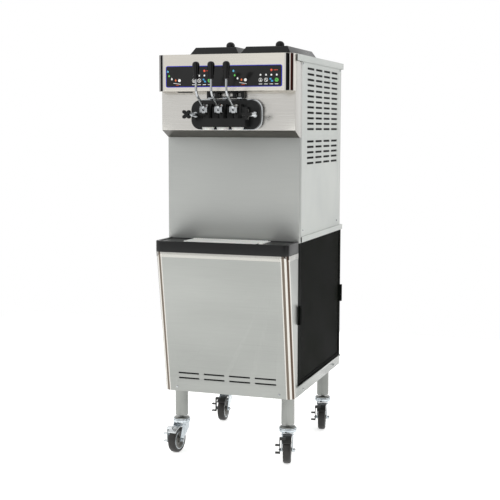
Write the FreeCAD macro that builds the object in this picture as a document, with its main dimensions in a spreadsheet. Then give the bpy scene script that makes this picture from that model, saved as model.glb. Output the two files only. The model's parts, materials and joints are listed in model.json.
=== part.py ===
"""Floor-standing soft-serve ice cream machine on four braked casters: two hoppers, two freezing
barrels and a three-lever dispensing door.

Frame: millimetres, +Z up, the front faces -Y, +X is the viewer's right, and the origin is on the
floor at the centre of the machine's outline.
"""

import FreeCAD, Part
import Sketcher
import math
import os
import re

V = FreeCAD.Vector

# ----------------------------------------------------------------------------------------------
# Driving dimensions. Each one becomes an aliased cell of the spreadsheet "Sizes".
# A level is a height above the floor. "out" is a distance in front of the neck panel's face, and
# "back" is a distance behind it.
# ----------------------------------------------------------------------------------------------
SIZES = {
    # cabinet outline
    "cabinet_width": 520,
    "neck_front": -199,
    "sheet_steel": 1.5,
    "seam": 0.3,
    "cheek_depth": 27,
    "upper_depth": 612,
    "lower_depth": 630,
    "cabinet_level": 251,
    "waist_level": 830,
    "waist_lip": 21,
    "neck_level": 1219,
    "dispense_level": 1245,
    "head_level": 1387,
    "deck_level": 1520,
    "deck_lip": 24,
    "deck_overhang": 4,
    "deck_back": 634,
    "waist_back": 640,
    "dispense_out": 59,
    "head_out": 105,
    "head_wrap": 45,
    "corner_radius": 28,
    "post": 24,
    # lower front panel
    "foot_out": 55,
    "hem_height": 19,
    "hem_proud": 1,
    "front_slot_length": 84,
    "front_slot_height": 6,
    "front_slot_pitch": 102,
    "front_slot_rows": 2,
    "front_slot_row_pitch": 20,
    "front_slot_level": 305,
    # side vents
    "vent_length": 96,
    "vent_height": 8,
    "vent_pitch": 118,
    "vent_row_pitch": 20.4,
    "vent_back": 146,
    "vent_columns": 4,
    "upper_vent_level": 1250,
    "upper_vent_rows": 12,
    "lower_vent_level": 1122,
    "lower_vent_rows": 5,
    # air filters
    "rail_height": 42,
    "rebate_depth": 13.5,
    "filter_thickness": 12,
    "filter_bar": 12,
    "filter_front_bar": 36,
    "filter_rear_bar": 22,
    "filter_mesh": 1.2,
    "filter_lap": 12,
    "pull_height": 70,
    "pull_width": 18,
    "pull_stand": 9,
    "pull_level": 525,
    # drip shelf, pan and grid
    "shelf_top": 836,
    "shelf_height": 41,
    "shelf_out": 145,
    "pan_width": 306,
    "pan_length": 106,
    "pan_back_gap": 9,
    "pan_depth": 24,
    "pan_wall": 2,
    "grid_thickness": 3,
    "grid_slot_width": 3.6,
    "grid_slot_length": 20,
    "grid_slot_pitch": 7.6,
    "grid_slot_columns": 38,
    "grid_slot_rows": 4,
    "grid_rib": 4,
    # hoppers and lids
    "hopper_offset": 102,
    "hopper_width": 180,
    "hopper_length": 326,
    "hopper_back": 260,
    "hopper_floor": 1384,
    "hopper_rim": 8,
    "lid_width": 202,
    "lid_length": 378,
    "lid_bevel": 20,
    "lid_height": 37,
    "lid_edge": 5,
    "lid_wall": 3,
    "lid_knob_radius": 16,
    "lid_knob_level": 1583,
    "lid_neck_radius": 7,
    # control overlay
    "overlay_width": 448,
    "overlay_height": 78,
    "overlay_level": 1401,
    "overlay_thickness": 1.2,
    "overlay_radius": 7,
    # dispensing door
    "barrel_offset": 62,
    "barrel_level": 1302,
    "barrel_bore": 40,
    "barrel_radius": 46,
    "barrel_back": 290,
    "trim_thickness": 3,
    "trim_margin": 4,
    "door_width": 266,
    "door_height": 107,
    "door_bottom": 1248,
    "door_thickness": 20,
    "door_radius": 35,
    "valve_pitch": 57,
    "valve_out": 107,
    "valve_radius": 18,
    "valve_bore": 14,
    "valve_bottom": 1257,
    "valve_top": 1341,
    "bar_width": 190,
    "bar_out": 139,
    "bar_height": 31,
    "piston_clearance": 0.2,
    "piston_gap": 3,
    "spout_radius": 23,
    "spout_height": 11,
    "spout_star": 9,
    "pivot_out": 141,
    "pivot_level": 1322,
    "pivot_pin": 3,
    "lug_width": 18,
    "lug_radius": 7,
    "yoke_wall": 5,
    "yoke_radius": 13,
    "yoke_gap": 0.5,
    "tongue_width": 8,
    "tongue_height": 6,
    "tongue_reach": 30,
    "rod_radius": 4.5,
    "rod_bend": 34,
    "rod_out": 228,
    "rod_rise": 70,
    "grip_level": 1424,
    "grip_top": 1487,
    "grip_radius": 13.5,
    "grip_neck": 9,
    "stud_offset": 115,
    "stud_radius": 4,
    "knob_out": 181,
    "knob_thickness": 14,
    "knob_lobe": 6.5,
    "knob_lobe_reach": 12.5,
    "spindle_radius": 7,
    "switch_bar": 144,
    # refrigeration and drive
    "gearbox_size": 108,
    "gearbox_length": 90,
    "motor_radius": 50,
    "motor_length": 165,
    "shaft_radius": 7,
    "running_clearance": 0.06,
    "drive_shelf_level": 1245,
    "compressor_radius": 82,
    "compressor_height": 230,
    "compressor_wall": 8,
    "condenser_fins": 30,
    "gland_radius": 11,
    "gland_bore": 5,
    "fan_radius": 120,
    "fan_hub": 24,
    # fasteners
    "screw_radius": 4.5,
    "screw_height": 2.5,
    "screw_rise": 17,
    # legs and casters
    "leg_offset": 216.5,
    "leg_front": 17,
    "leg_rear": 524,
    "leg_radius": 25,
    "leg_wall": 2,
    "stem_rise": 13,
    "stem_radius": 6,
    "race_radius": 29,
    "caster_rise": 27,
    "swivel_radius": 33,
    "swivel_height": 14,
    "trail": 42,
    "wheel_radius": 50,
    "wheel_width": 30,
    "tyre_thickness": 13,
    "tyre_edge": 6,
    "axle_radius": 4,
    "fork_gap": 37,
    "fork_wall": 3,
    "brake_plate": 2.5,
    "brake_gap": 0.5,
}

SIDES = {"left": -1, "right": 1}
VALVES = {"left": -1, "centre": 0, "right": 1}
STAR_TURN = {"left": 45, "right": 0}
CASTERS = {  # side, front or rear leg, and the caster's heading in degrees about +Z
    "front_left": (-1, "leg_front", -6),
    "front_right": (1, "leg_front", 14),
    "rear_left": (-1, "leg_rear", 4),
    "rear_right": (1, "leg_rear", 12),
}

document = FreeCAD.newDocument("ice_cream_machine")
sheet = document.addObject("Spreadsheet::Sheet", "Sizes")
for row, (alias, value) in enumerate(SIZES.items(), start=1):
    sheet.set(f"A{row}", alias)
    sheet.set(f"B{row}", str(value))
    sheet.setAlias(f"B{row}", alias)
document.recompute()

NODES = {}
WORD = re.compile(r"[a-z][a-z_]*")


def formula(text):
    """A formula in size names, as the spreadsheet's expression."""
    return WORD.sub(lambda m: "Sizes." + m.group() if m.group() in SIZES else m.group(), str(text))


def number(text):
    """The value of a formula in size names, read from the sheet. It adds, takes, multiplies and divides."""
    total = document.getObject("Scratch") or document.addObject("App::FeaturePython", "Scratch")
    if not hasattr(total, "Result"):
        total.addProperty("App::PropertyFloat", "Result")
    total.setExpression("Result", formula(text))
    total.recompute()
    return total.Result


def bind(thing, **formulas):
    for name, text in formulas.items():
        thing.setExpression(name, formula(text))
    return thing


def place(thing, x="0", y="0", z="0", axis=None, angle="0"):
    if axis is not None:
        thing.Placement = FreeCAD.Placement(V(0, 0, 0), FreeCAD.Rotation(axis, 1.0))
        thing.setExpression("Placement.Rotation.Angle", formula(angle))
    for letter, text in zip("xyz", (x, y, z)):
        thing.setExpression(f"Placement.Base.{letter}", formula(text))
    return thing


def node(name, thing):
    """Names the finished sub-part, whose label is its file's name."""
    thing.Label = name
    NODES[name] = thing
    return thing


# ---- primitives ------------------------------------------------------------------------------


def box(x, y, z):
    """A box between two formulas on each axis."""
    thing = document.addObject("Part::Box", "Block")
    for size, (low, high) in zip(("Length", "Width", "Height"), (x, y, z)):
        thing.setExpression(size, formula(f"({high}) - ({low})"))
    return place(thing, x[0], y[0], z[0])


TURNS = {"x": (V(0, 1, 0), 90), "y": (V(1, 0, 0), -90), "z": (V(0, 0, 1), 0)}


def rod(axis, x, y, z, radius, length):
    """A cylinder from (x, y, z) along +axis."""
    thing = document.addObject("Part::Cylinder", "Rod")
    bind(thing, Radius=radius, Height=length)
    turn, angle = TURNS[axis]
    return place(thing, x, y, z, turn, str(angle))


def cone(axis, x, y, z, radius, end_radius, length):
    thing = document.addObject("Part::Cone", "Taper")
    bind(thing, Radius1=radius, Radius2=end_radius, Height=length)
    turn, angle = TURNS[axis]
    return place(thing, x, y, z, turn, str(angle))


def ball(x, y, z, radius):
    thing = document.addObject("Part::Sphere", "Ball")
    bind(thing, Radius=radius)
    return place(thing, x, y, z)


def fuse(*things):
    if len(things) == 1:
        return things[0]
    thing = document.addObject("Part::MultiFuse", "Union")
    thing.Shapes = list(things)
    return thing


def cut(base, *tools):
    thing = document.addObject("Part::Cut", "Difference")
    thing.Base = base
    thing.Tool = fuse(*tools)
    return thing


def group(*things):
    """Separate solids that share one node."""
    thing = document.addObject("Part::Compound", "Group")
    thing.Links = list(things)
    return thing


# ---- sketched bodies -------------------------------------------------------------------------


def sketch_on(body, role):
    sketch = body.newObject("Sketcher::SketchObject", "Outline")
    plane = next(o for o in body.Origin.OriginFeatures if o.Role == role)
    sketch.AttachmentSupport = [(plane, "")]
    sketch.MapMode = "FlatFace"
    return sketch


def hold(sketch, kind, name, text, *where):
    """One dimension of a sketch, bound to its formula."""
    index = sketch.addConstraint(Sketcher.Constraint(kind, *where, number(text)))
    sketch.renameConstraint(index, name)
    sketch.setExpression(f"Constraints.{name}", formula(text))


def polygon(sketch, points):
    """A closed outline through points given as pairs of formulas."""
    corners = [V(number(a), number(b), 0) for a, b in points]
    count = len(corners)
    first = sketch.GeometryCount
    for i in range(count):
        sketch.addGeometry(Part.LineSegment(corners[i], corners[(i + 1) % count]))
    for i in range(count):
        here, there = first + i, first + (i + 1) % count
        sketch.addConstraint(Sketcher.Constraint("Coincident", here, 2, there, 1))
    for i, (a, b) in enumerate(points):
        hold(sketch, "DistanceX", f"across{first + i}", a, -1, 1, first + i, 1)
        hold(sketch, "DistanceY", f"up{first + i}", b, -1, 1, first + i, 1)


def capsule(sketch, a, b, length, height):
    """A slot with round ends, centred on (a, b)."""
    half = f"(({length}) - ({height})) / 2"
    ends = [(f"({a}) - {half}", b, 90, 270), (f"({a}) + {half}", b, -90, 90)]
    radius = number(height) / 2
    arcs = []
    for centre_a, centre_b, start, stop in ends:
        circle = Part.Circle(V(number(centre_a), number(centre_b), 0), V(0, 0, 1), radius)
        arcs.append(sketch.addGeometry(Part.ArcOfCircle(circle, math.radians(start), math.radians(stop))))
    left, right = arcs
    x_left, x_right, level = number(ends[0][0]), number(ends[1][0]), number(b)
    top = sketch.addGeometry(Part.LineSegment(V(x_right, level + radius, 0), V(x_left, level + radius, 0)))
    low = sketch.addGeometry(Part.LineSegment(V(x_left, level - radius, 0), V(x_right, level - radius, 0)))
    for line, line_end, arc, arc_end in ((top, 2, left, 1), (low, 1, left, 2), (low, 2, right, 1), (top, 1, right, 2)):
        sketch.addConstraint(Sketcher.Constraint("Tangent", line, line_end, arc, arc_end))
    for arc, (centre_a, centre_b, _start, _stop) in zip(arcs, ends):
        hold(sketch, "DistanceX", f"across{arc}", centre_a, -1, 1, arc, 3)
        hold(sketch, "DistanceY", f"up{arc}", centre_b, -1, 1, arc, 3)
    hold(sketch, "Radius", f"round{left}", f"({height}) / 2", left)


def prism(role, points, thickness, x="0", y="0", z="0"):
    """A padded outline, symmetric about its plane, with the body placed at (x, y, z)."""
    body = document.addObject("PartDesign::Body", "Panel")
    sketch = sketch_on(body, role)
    polygon(sketch, points)
    pad = body.newObject("PartDesign::Pad", "Pad")
    pad.Profile = sketch
    pad.SideType = "Symmetric"
    bind(pad, Length=thickness)
    document.recompute()
    return place(body, x, y, z)


def rectangle(a, b):
    """The corners of a rectangle between two formulas on each axis."""
    return [(a[0], b[0]), (a[1], b[0]), (a[1], b[1]), (a[0], b[1])]


def round_edges(body, radius, wanted):
    """Rounds the edges of a body's tip for which wanted(edge) holds."""
    base = body.Tip
    fillet = body.newObject("PartDesign::Fillet", "Round")
    names = [f"Edge{i}" for i, edge in enumerate(base.Shape.Edges, start=1) if wanted(edge)]
    fillet.Base = (base, names)
    bind(fillet, Radius=radius)
    body.Tip = fillet
    document.recompute()
    return body


def runs(edge, axis):
    """True for a straight edge that runs mostly along the axis."""
    start, end = edge.Vertexes[0].Point, edge.Vertexes[-1].Point
    along = end - start
    return along.Length > 0 and abs(getattr(along, axis)) > 0.8 * along.Length


def vent_rows(body, role, a, b, rows):
    """Cuts a field of vents through a flat sheet, from the vent at (a, b) towards + on both axes."""
    sketch = sketch_on(body, role)
    capsule(sketch, a, b, "vent_length", "vent_height")
    slot_pattern(body, sketch, "vent_columns", "vent_pitch", rows, "vent_row_pitch")


def slot_pattern(body, sketch, columns, column_pitch, rows, row_pitch):
    """Cuts a sketched slot through a sheet and repeats it in columns and rows."""
    pocket = body.newObject("PartDesign::Pocket", "Slot")
    pocket.Profile = sketch
    pocket.SideType = "Symmetric"
    pocket.Type = "ThroughAll"
    document.recompute()
    pattern = body.newObject("PartDesign::LinearPattern", "Slots")
    pattern.Originals = [pocket]
    pattern.Direction = (sketch, ["H_Axis"])
    pattern.Mode = "Spacing"
    bind(pattern, Offset=column_pitch, Occurrences=columns)
    pattern.Direction2 = (sketch, ["V_Axis"])
    pattern.Mode2 = "Spacing"
    # The second direction's count takes in one more than the rows it leaves.
    bind(pattern, Offset2=row_pitch, Occurrences2=f"{rows} + 1")
    body.Tip = pattern
    document.recompute()
    return body


HALF = "cabinet_width / 2"
LOWER_REAR = "neck_front + lower_depth"
UPPER_REAR = "neck_front + upper_depth"


# ----------------------------------------------------------------------------------------------
# Cabinet
# ----------------------------------------------------------------------------------------------


def front_edges(edge):
    """The upright or leaning edges at the front corners of a prism."""
    centre = edge.CenterOfMass
    return runs(edge, "z") and centre.y < number("neck_front - head_wrap - 5")


def base_frame():
    """Floor pan, four corner posts and the shelf that carries the two gear motors."""
    pan = box(("-cabinet_width / 2 + rebate_depth + 2 * seam", "cabinet_width / 2 - rebate_depth - 2 * seam"),
              ("neck_front - foot_out + corner_radius / 2", f"{LOWER_REAR} - 2 * sheet_steel"),
              ("cabinet_level", "cabinet_level + 2 * sheet_steel"))
    solids = [pan]
    for sign in SIDES.values():
        outer = f"{sign} * (cabinet_width / 2 - rebate_depth - 2 * seam)"
        inner = f"{sign} * (cabinet_width / 2 - rebate_depth - 2 * seam - post)"
        low, high = (outer, inner) if sign < 0 else (inner, outer)
        for front in ("neck_front + sheet_steel + seam", f"{LOWER_REAR} - 2 * sheet_steel - post"):
            solids.append(box((low, high), (front, f"{front} + post"),
                              ("cabinet_level + 2 * sheet_steel", "waist_level + waist_lip - sheet_steel")))
    shelf = prism("YZ_Plane", [
        ("neck_front + cheek_depth + 20", "drive_shelf_level - 15"),
        (f"{UPPER_REAR} - 20", "drive_shelf_level - 15"),
        (f"{UPPER_REAR} - 20", "drive_shelf_level"),
        ("neck_front + cheek_depth + 20", "drive_shelf_level"),
    ], "cabinet_width - 2 * sheet_steel - 2 * seam")
    hollow = box((f"-({HALF}) + 3 * sheet_steel", f"{HALF} - 3 * sheet_steel"),
                 ("neck_front + cheek_depth", UPPER_REAR),
                 ("drive_shelf_level - 20", "drive_shelf_level - 2 * sheet_steel"))
    solids.append(cut(shelf, hollow))
    node("base_frame", group(*solids))


LEAN = "(shelf_out - foot_out - 3) / (shelf_top - shelf_height - cabinet_level)"
FRONT_TOP = "shelf_top - shelf_height - seam"


def front_form(proud, top, bottom, back):
    """A leaning block with rounded front corners, grown forwards and sideways by a margin."""
    face = f"neck_front - shelf_out + 3 - ({proud})"
    rise = f"({FRONT_TOP})"
    body = prism("YZ_Plane", [
        (f"{face} + ({LEAN}) * ({rise} - ({top}))", top),
        (f"{face} + ({LEAN}) * ({rise} - ({bottom}))", bottom),
        (back, bottom), (back, top),
    ], f"cabinet_width + 2 * ({proud})")
    return round_edges(body, f"corner_radius + ({proud})", front_edges)


def lower_front_panel():
    """Leaning front with rounded corners, returned round both sides, with a proud hem at the top
    and two rows of slots near the foot."""
    back = "neck_front - 8 - seam"
    sheet = front_form("0", FRONT_TOP, "cabinet_level", back)
    hem = front_form("hem_proud", FRONT_TOP, f"{FRONT_TOP} - hem_height", f"{back} - 1")
    inside = front_form("-sheet_steel", f"{FRONT_TOP} + 5", "cabinet_level - 5", "neck_front")
    node("lower_front_panel", cut(fuse(sheet, hem), inside, slot_cutters()))


def slot_cutters():
    """Round-ended bars that cut the front panel's slots."""
    body = document.addObject("PartDesign::Body", "FrontSlots")
    sketch = sketch_on(body, "XZ_Plane")
    for row in range(SIZES["front_slot_rows"]):
        for column in (-1.5, -0.5, 0.5, 1.5):
            capsule(sketch, f"{column} * front_slot_pitch", f"front_slot_level + {row} * front_slot_row_pitch",
                    "front_slot_length", "front_slot_height")
    pad = body.newObject("PartDesign::Pad", "Pad")
    pad.Profile = sketch
    pad.SideType = "Symmetric"
    bind(pad, Length="foot_out + 20")
    document.recompute()
    return place(body, y="neck_front - foot_out")


def side_frames():
    """Folded surrounds of the two filter openings, with a rebate behind and a ledge below."""
    solids = []
    for sign in SIDES.values():
        def span(near, far):
            """A span of x between two depths inside the side's outer face."""
            a, b = f"{sign} * ({HALF} - ({near}))", f"{sign} * ({HALF} - ({far}))"
            return (b, a) if sign > 0 else (a, b)

        slab = box(span("0", "rebate_depth"), ("neck_front - 8", LOWER_REAR), ("cabinet_level", "waist_level - seam"))
        rebate = box(span("-10", "rebate_depth - sheet_steel"), ("neck_front - 8 + sheet_steel", f"{LOWER_REAR} - sheet_steel"),
                     ("cabinet_level + rail_height", "waist_level - sheet_steel"))
        window = box(span("-10", "rebate_depth + 10"),
                     ("neck_front - 8 + sheet_steel + filter_lap", f"{LOWER_REAR} - sheet_steel - filter_lap"),
                     ("cabinet_level + rail_height + filter_lap", "waist_level - sheet_steel - filter_lap"))
        rail = box(span("sheet_steel", "rebate_depth + 10"), ("neck_front - 20", f"{LOWER_REAR} + 10"),
                   ("cabinet_level - 5", "cabinet_level + rail_height - sheet_steel"))
        ledge = box(span("-6", "0"), ("neck_front - 6", LOWER_REAR),
                    ("cabinet_level + rail_height - 7", "cabinet_level + rail_height"))
        solids.append(fuse(cut(slab, rebate, window, rail), ledge))
    node("side_frames", group(*solids))


def air_filters():
    """Framed mesh filters that pull straight out of the side frames."""
    front, rear = "neck_front - 8 + sheet_steel + seam", f"{LOWER_REAR} - sheet_steel - seam"
    low, high = "cabinet_level + rail_height + seam", "waist_level - sheet_steel - seam"
    for side, sign in SIDES.items():
        inner = f"{sign} * ({HALF} - rebate_depth + sheet_steel + seam)"
        outer = f"{sign} * ({HALF} - rebate_depth + sheet_steel + seam + filter_thickness)"
        middle = f"{sign} * ({HALF} - rebate_depth + sheet_steel + seam + filter_thickness - 4)"
        mesh_inner = f"{sign} * ({HALF} - rebate_depth + sheet_steel + seam + filter_thickness - 4 - filter_mesh)"
        proud = f"{sign} * ({HALF} - rebate_depth + sheet_steel + seam + filter_thickness + pull_stand)"

        def span(a, b):
            return (a, b) if sign > 0 else (b, a)

        window = ((f"{front} + filter_front_bar", f"{rear} - filter_rear_bar"), (f"{low} + filter_bar", f"{high} - filter_bar / 2"))
        frame = cut(box(span(inner, outer), (front, rear), (low, high)),
                    box(span(f"{inner} - {sign} * 5", f"{outer} + {sign} * 5"), *window))
        mesh = box(span(mesh_inner, middle), *window)
        pulls = []
        for start in (f"{front} + 1", f"{rear} - pull_width - 1"):
            level = ("pull_level", "pull_level + pull_height")
            grip = box(span(outer, proud), (start, f"{start} + pull_width"), level)
            scoop = rod("z", f"({outer} + {proud}) / 2 + {sign} * 2", f"{start} + pull_width / 2",
                        "pull_level + 8", "pull_stand / 2", "pull_height - 16")
            pulls.append(cut(grip, scoop))
        node(f"air_filter_{side}", fuse(frame, mesh, *pulls))


def rear_panels():
    """Upper and lower rear sheets, each with a field of vents."""
    upper = prism("XZ_Plane", rectangle((f"-({HALF}) + sheet_steel + seam", f"{HALF} - sheet_steel - seam"),
                                        ("waist_level + waist_lip + seam", "deck_level - 2 * sheet_steel")),
                  "sheet_steel", y=f"{UPPER_REAR} - sheet_steel / 2")
    lower = prism("XZ_Plane", rectangle((f"-({HALF}) + rebate_depth + seam", f"{HALF} - rebate_depth - seam"),
                                        ("cabinet_level", "waist_level - seam")),
                  "sheet_steel", y=f"{LOWER_REAR} - sheet_steel / 2")
    for body, level in ((upper, "upper_vent_level"), (lower, "cabinet_level + 200")):
        vent_rows(body, "XZ_Plane", "-1.5 * vent_pitch", level, "upper_vent_rows")
    gland_hole = rod("y", GLAND_X, f"{LOWER_REAR} - 10", GLAND_LEVEL, "gland_radius + seam", "20")
    node("rear_panels", group(upper, cut(lower, gland_hole)))


def waist_shelf():
    """Shelf between the lower and upper cabinet. Its lips show as a band round the machine."""
    half = f"{HALF} + deck_overhang"
    slab = box((f"-({half})", half), ("neck_front + cheek_depth + seam", "neck_front + waist_back"),
               ("waist_level", "waist_level + waist_lip"))
    hollow = box((f"-({half}) + sheet_steel", f"{half} - sheet_steel"),
                 ("neck_front - 10", "neck_front + waist_back - sheet_steel"),
                 ("waist_level - 5", "waist_level + waist_lip - sheet_steel"))
    node("waist_shelf", cut(slab, hollow))


def upper_side_panels():
    """Vented sheets with folded upright edges."""
    front, rear = "neck_front + cheek_depth + seam", f"{UPPER_REAR} - sheet_steel - seam"
    levels = ("waist_level + waist_lip + seam", "deck_level - 2 * sheet_steel")
    for side, sign in SIDES.items():
        body = prism("YZ_Plane", rectangle((front, rear), levels), "sheet_steel",
                     x=f"{sign} * ({HALF} - sheet_steel / 2)")
        first = "neck_front + vent_back"
        vent_rows(body, "YZ_Plane", first, "upper_vent_level", "upper_vent_rows")
        vent_rows(body, "YZ_Plane", first, "lower_vent_level", "lower_vent_rows")
        folds = []
        for start, end in ((front, f"{front} + sheet_steel"), (f"{rear} - sheet_steel", rear)):
            near, far = f"{sign} * ({HALF} - 12)", f"{sign} * ({HALF} - sheet_steel / 2)"
            folds.append(box((near, far) if sign > 0 else (far, near), (start, end), levels))
        node(f"upper_side_panel_{side}", fuse(body, *folds))


def neck_panel():
    """Plain front sheet between the drip shelf and the dispensing head, folded round both sides."""
    outer = box((f"-({HALF})", HALF), ("neck_front", "neck_front + cheek_depth"), ("waist_level", "neck_level - seam"))
    inner = box((f"-({HALF}) + sheet_steel", f"{HALF} - sheet_steel"),
                ("neck_front + sheet_steel", "neck_front + cheek_depth + 5"), ("waist_level - 5", "neck_level + 5"))
    node("neck_panel", cut(outer, inner))


def dispense_panel():
    """Front sheet behind the door. It slopes back to the neck below, and its cheeks rise to the deck."""
    front, back = "neck_front - dispense_out", "neck_front + cheek_depth"
    top = "deck_level - deck_lip - seam"
    upper_front = "neck_front - head_wrap + seam"
    outer = prism("YZ_Plane", [
        (front, "head_level - seam"), (front, "dispense_level"), ("neck_front", "neck_level"), (back, "neck_level"),
        (back, top), (upper_front, top), (upper_front, "head_level - seam"),
    ], "cabinet_width")
    inner = prism("YZ_Plane", [
        (f"{front} + sheet_steel", "head_level - seam - sheet_steel"),
        (f"{front} + sheet_steel", "dispense_level + 0.6 * sheet_steel"),
        ("neck_front", "neck_level + 1.1 * sheet_steel"), (f"{back} + 5", "neck_level + 1.1 * sheet_steel"),
        (f"{back} + 5", f"{top} + 5"), (f"{upper_front} + sheet_steel", f"{top} + 5"),
        (f"{upper_front} + sheet_steel", "head_level - seam - sheet_steel"),
    ], "cabinet_width - 2 * sheet_steel")
    node("dispense_panel", cut(cut(outer, inner), *barrel_holes(f"{front} - 5", "sheet_steel + 10")))


def barrel_holes(y, length):
    return [rod("y", f"{sign} * barrel_offset", y, "barrel_level", "barrel_radius + seam", length)
            for sign in SIDES.values()]


def head_fascia():
    """Control head with rounded front corners, closed above and below and open behind."""
    front, back = "neck_front - head_out", "neck_front - head_wrap"
    outline = rectangle((front, back), ("head_level", "deck_level"))
    outer = round_edges(prism("YZ_Plane", outline, "cabinet_width"), "corner_radius", front_edges)
    hollow = rectangle((f"{front} + sheet_steel", f"{back} + 5"), ("head_level + sheet_steel", "deck_level - sheet_steel"))
    inner = round_edges(prism("YZ_Plane", hollow, "cabinet_width - 2 * sheet_steel"),
                        "corner_radius - sheet_steel", front_edges)
    node("head_fascia", cut(outer, inner))


def control_overlay():
    """Printed control film on its carrier plate."""
    plate = prism("XZ_Plane", rectangle(("-overlay_width / 2", "overlay_width / 2"),
                                        ("overlay_level", "overlay_level + overlay_height")),
                  "overlay_thickness", y="neck_front - head_out - overlay_thickness / 2")
    node("control_overlay", round_edges(plate, "overlay_radius", lambda edge: runs(edge, "y")))


def top_deck():
    """Cover with lips at the sides and back and an opening for each hopper."""
    half = f"{HALF} + deck_overhang"
    front, back = "neck_front - head_wrap + seam", "neck_front + deck_back"
    slab = box((f"-({half})", half), (front, back), ("deck_level - deck_lip", "deck_level"))
    hollow = box((f"-({half}) + sheet_steel", f"{half} - sheet_steel"), (f"{front} - 5", f"{back} - sheet_steel"),
                 ("deck_level - deck_lip - 5", "deck_level - sheet_steel"))
    openings = [hopper_block(sign, "seam", ("deck_level - deck_lip", "deck_level + 5")) for sign in SIDES.values()]
    node("top_deck", cut(slab, hollow, *openings))


def hopper_block(sign, margin, levels):
    """A block of a hopper's plan, grown by a margin."""
    x = f"{sign} * hopper_offset"
    y = "neck_front + hopper_back"
    return box((f"{x} - hopper_width / 2 - ({margin})", f"{x} + hopper_width / 2 + ({margin})"),
               (f"{y} - hopper_length / 2 - ({margin})", f"{y} + hopper_length / 2 + ({margin})"), levels)


# ----------------------------------------------------------------------------------------------
# Hoppers and lids
# ----------------------------------------------------------------------------------------------


def hopper_tanks():
    """Stainless mix tanks that hang by their rims, each with a feed tube down to its barrel."""
    solids = []
    for sign in SIDES.values():
        tank = hopper_block(sign, "0", ("hopper_floor", "deck_level"))
        rim = hopper_block(sign, "hopper_rim", ("deck_level", "deck_level + sheet_steel"))
        spout = rod("z", f"{sign} * barrel_offset", "neck_front + hopper_back", "barrel_level + barrel_radius + seam",
                    "9", "hopper_floor - barrel_level - barrel_radius")
        hollow = hopper_block(sign, "-sheet_steel", ("hopper_floor + sheet_steel", "deck_level + 10"))
        feed = rod("z", f"{sign} * barrel_offset", "neck_front + hopper_back", "barrel_level", "7", "150")
        solids.append(cut(fuse(tank, rim, spout), hollow, feed))
    node("hopper_tanks", group(*solids))


def feed_tubes():
    """Air tubes that stand in the feed holes and meter mix and air into the barrels."""
    solids = []
    for sign in SIDES.values():
        place_of = (f"{sign} * barrel_offset", "neck_front + hopper_back")
        tube = rod("z", *place_of, "hopper_floor - 20", "6.8", "120")
        collar = rod("z", *place_of, "hopper_floor + sheet_steel + seam", "11", "8")
        bore = rod("z", *place_of, "hopper_floor - 30", "4.5", "140")
        solids.append(cut(fuse(tube, collar), bore))
    node("feed_tubes", group(*solids))


def hopper_lids():
    """Bevelled moulded lids with ball knobs."""
    for side, sign in SIDES.items():
        x, y = f"{sign} * hopper_offset", "neck_front + hopper_back"
        base = "deck_level + sheet_steel + seam"
        outer = lid_form("0", base, "lid_height")
        inner = lid_form("lid_wall", f"{base} - 1", "lid_height - lid_wall + 1")
        shell = place(cut(outer, inner), x, y)
        neck = rod("z", x, y, f"{base} + lid_height", "lid_neck_radius", f"lid_knob_level - ({base}) - lid_height")
        knob = fuse(neck, ball(x, y, "lid_knob_level", "lid_knob_radius"))
        foot = box((f"{x} - 40", f"{x} + 40"), (f"{y} - 40", f"{y} + 40"), ("deck_level", f"{base} + lid_height"))
        node(f"hopper_lid_{side}", group(shell, cut(knob, foot)))


def lid_form(inset, base, height):
    """A rectangular block with a short upright edge and a bevel above it, centred on its own origin."""
    body = document.addObject("PartDesign::Body", "LidForm")
    rings = [(f"({base})", "0"), (f"({base}) + lid_edge", "0"), (f"({base}) + ({height})", "lid_bevel")]
    sketches = []
    for level, bevel in rings:
        sketch = sketch_on(body, "XY_Plane")
        sketch.setExpression("AttachmentOffset.Base.z", formula(level))
        half_x = f"lid_width / 2 - ({inset}) - {bevel}"
        half_y = f"lid_length / 2 - ({inset}) - {bevel}"
        polygon(sketch, rectangle((f"-({half_x})", half_x), (f"-({half_y})", half_y)))
        sketches.append(sketch)
    document.recompute()
    loft = body.newObject("PartDesign::AdditiveLoft", "Loft")
    loft.Profile = sketches[0]
    loft.Sections = sketches[1:]
    loft.Ruled = True
    document.recompute()
    return body


# ----------------------------------------------------------------------------------------------
# Dispensing door
# ----------------------------------------------------------------------------------------------

DISPENSE_FACE = "neck_front - dispense_out"
DOOR_BACK = f"{DISPENSE_FACE} - trim_thickness"
DOOR_FACE = f"{DOOR_BACK} - door_thickness"
VALVE_Y = "neck_front - valve_out"
PIVOT_Y = "neck_front - pivot_out"


def rounded_plate(margin, back, thickness):
    """The door's outline grown by a margin, with its back face at a given y."""
    plate = prism("XZ_Plane", rectangle((f"-door_width / 2 - ({margin})", f"door_width / 2 + ({margin})"),
                                        (f"door_bottom - ({margin}) / 2", f"door_bottom + door_height + ({margin})")),
                  thickness, y=f"{back} - ({thickness}) / 2")
    return round_edges(plate, f"door_radius + ({margin})", lambda edge: runs(edge, "y"))


def door_trim_plate():
    """Polished plate between the panel and the door."""
    plate = rounded_plate("trim_margin", DISPENSE_FACE, "trim_thickness")
    node("door_trim_plate", cut(plate, *barrel_holes(f"{DOOR_BACK} - 5", "trim_thickness + 10"), *stud_holes()))


def stud_holes():
    return [rod("y", f"{sign} * stud_offset", f"{DOOR_FACE} - 30", "barrel_level", "stud_radius + seam", "80")
            for sign in SIDES.values()]


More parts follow.
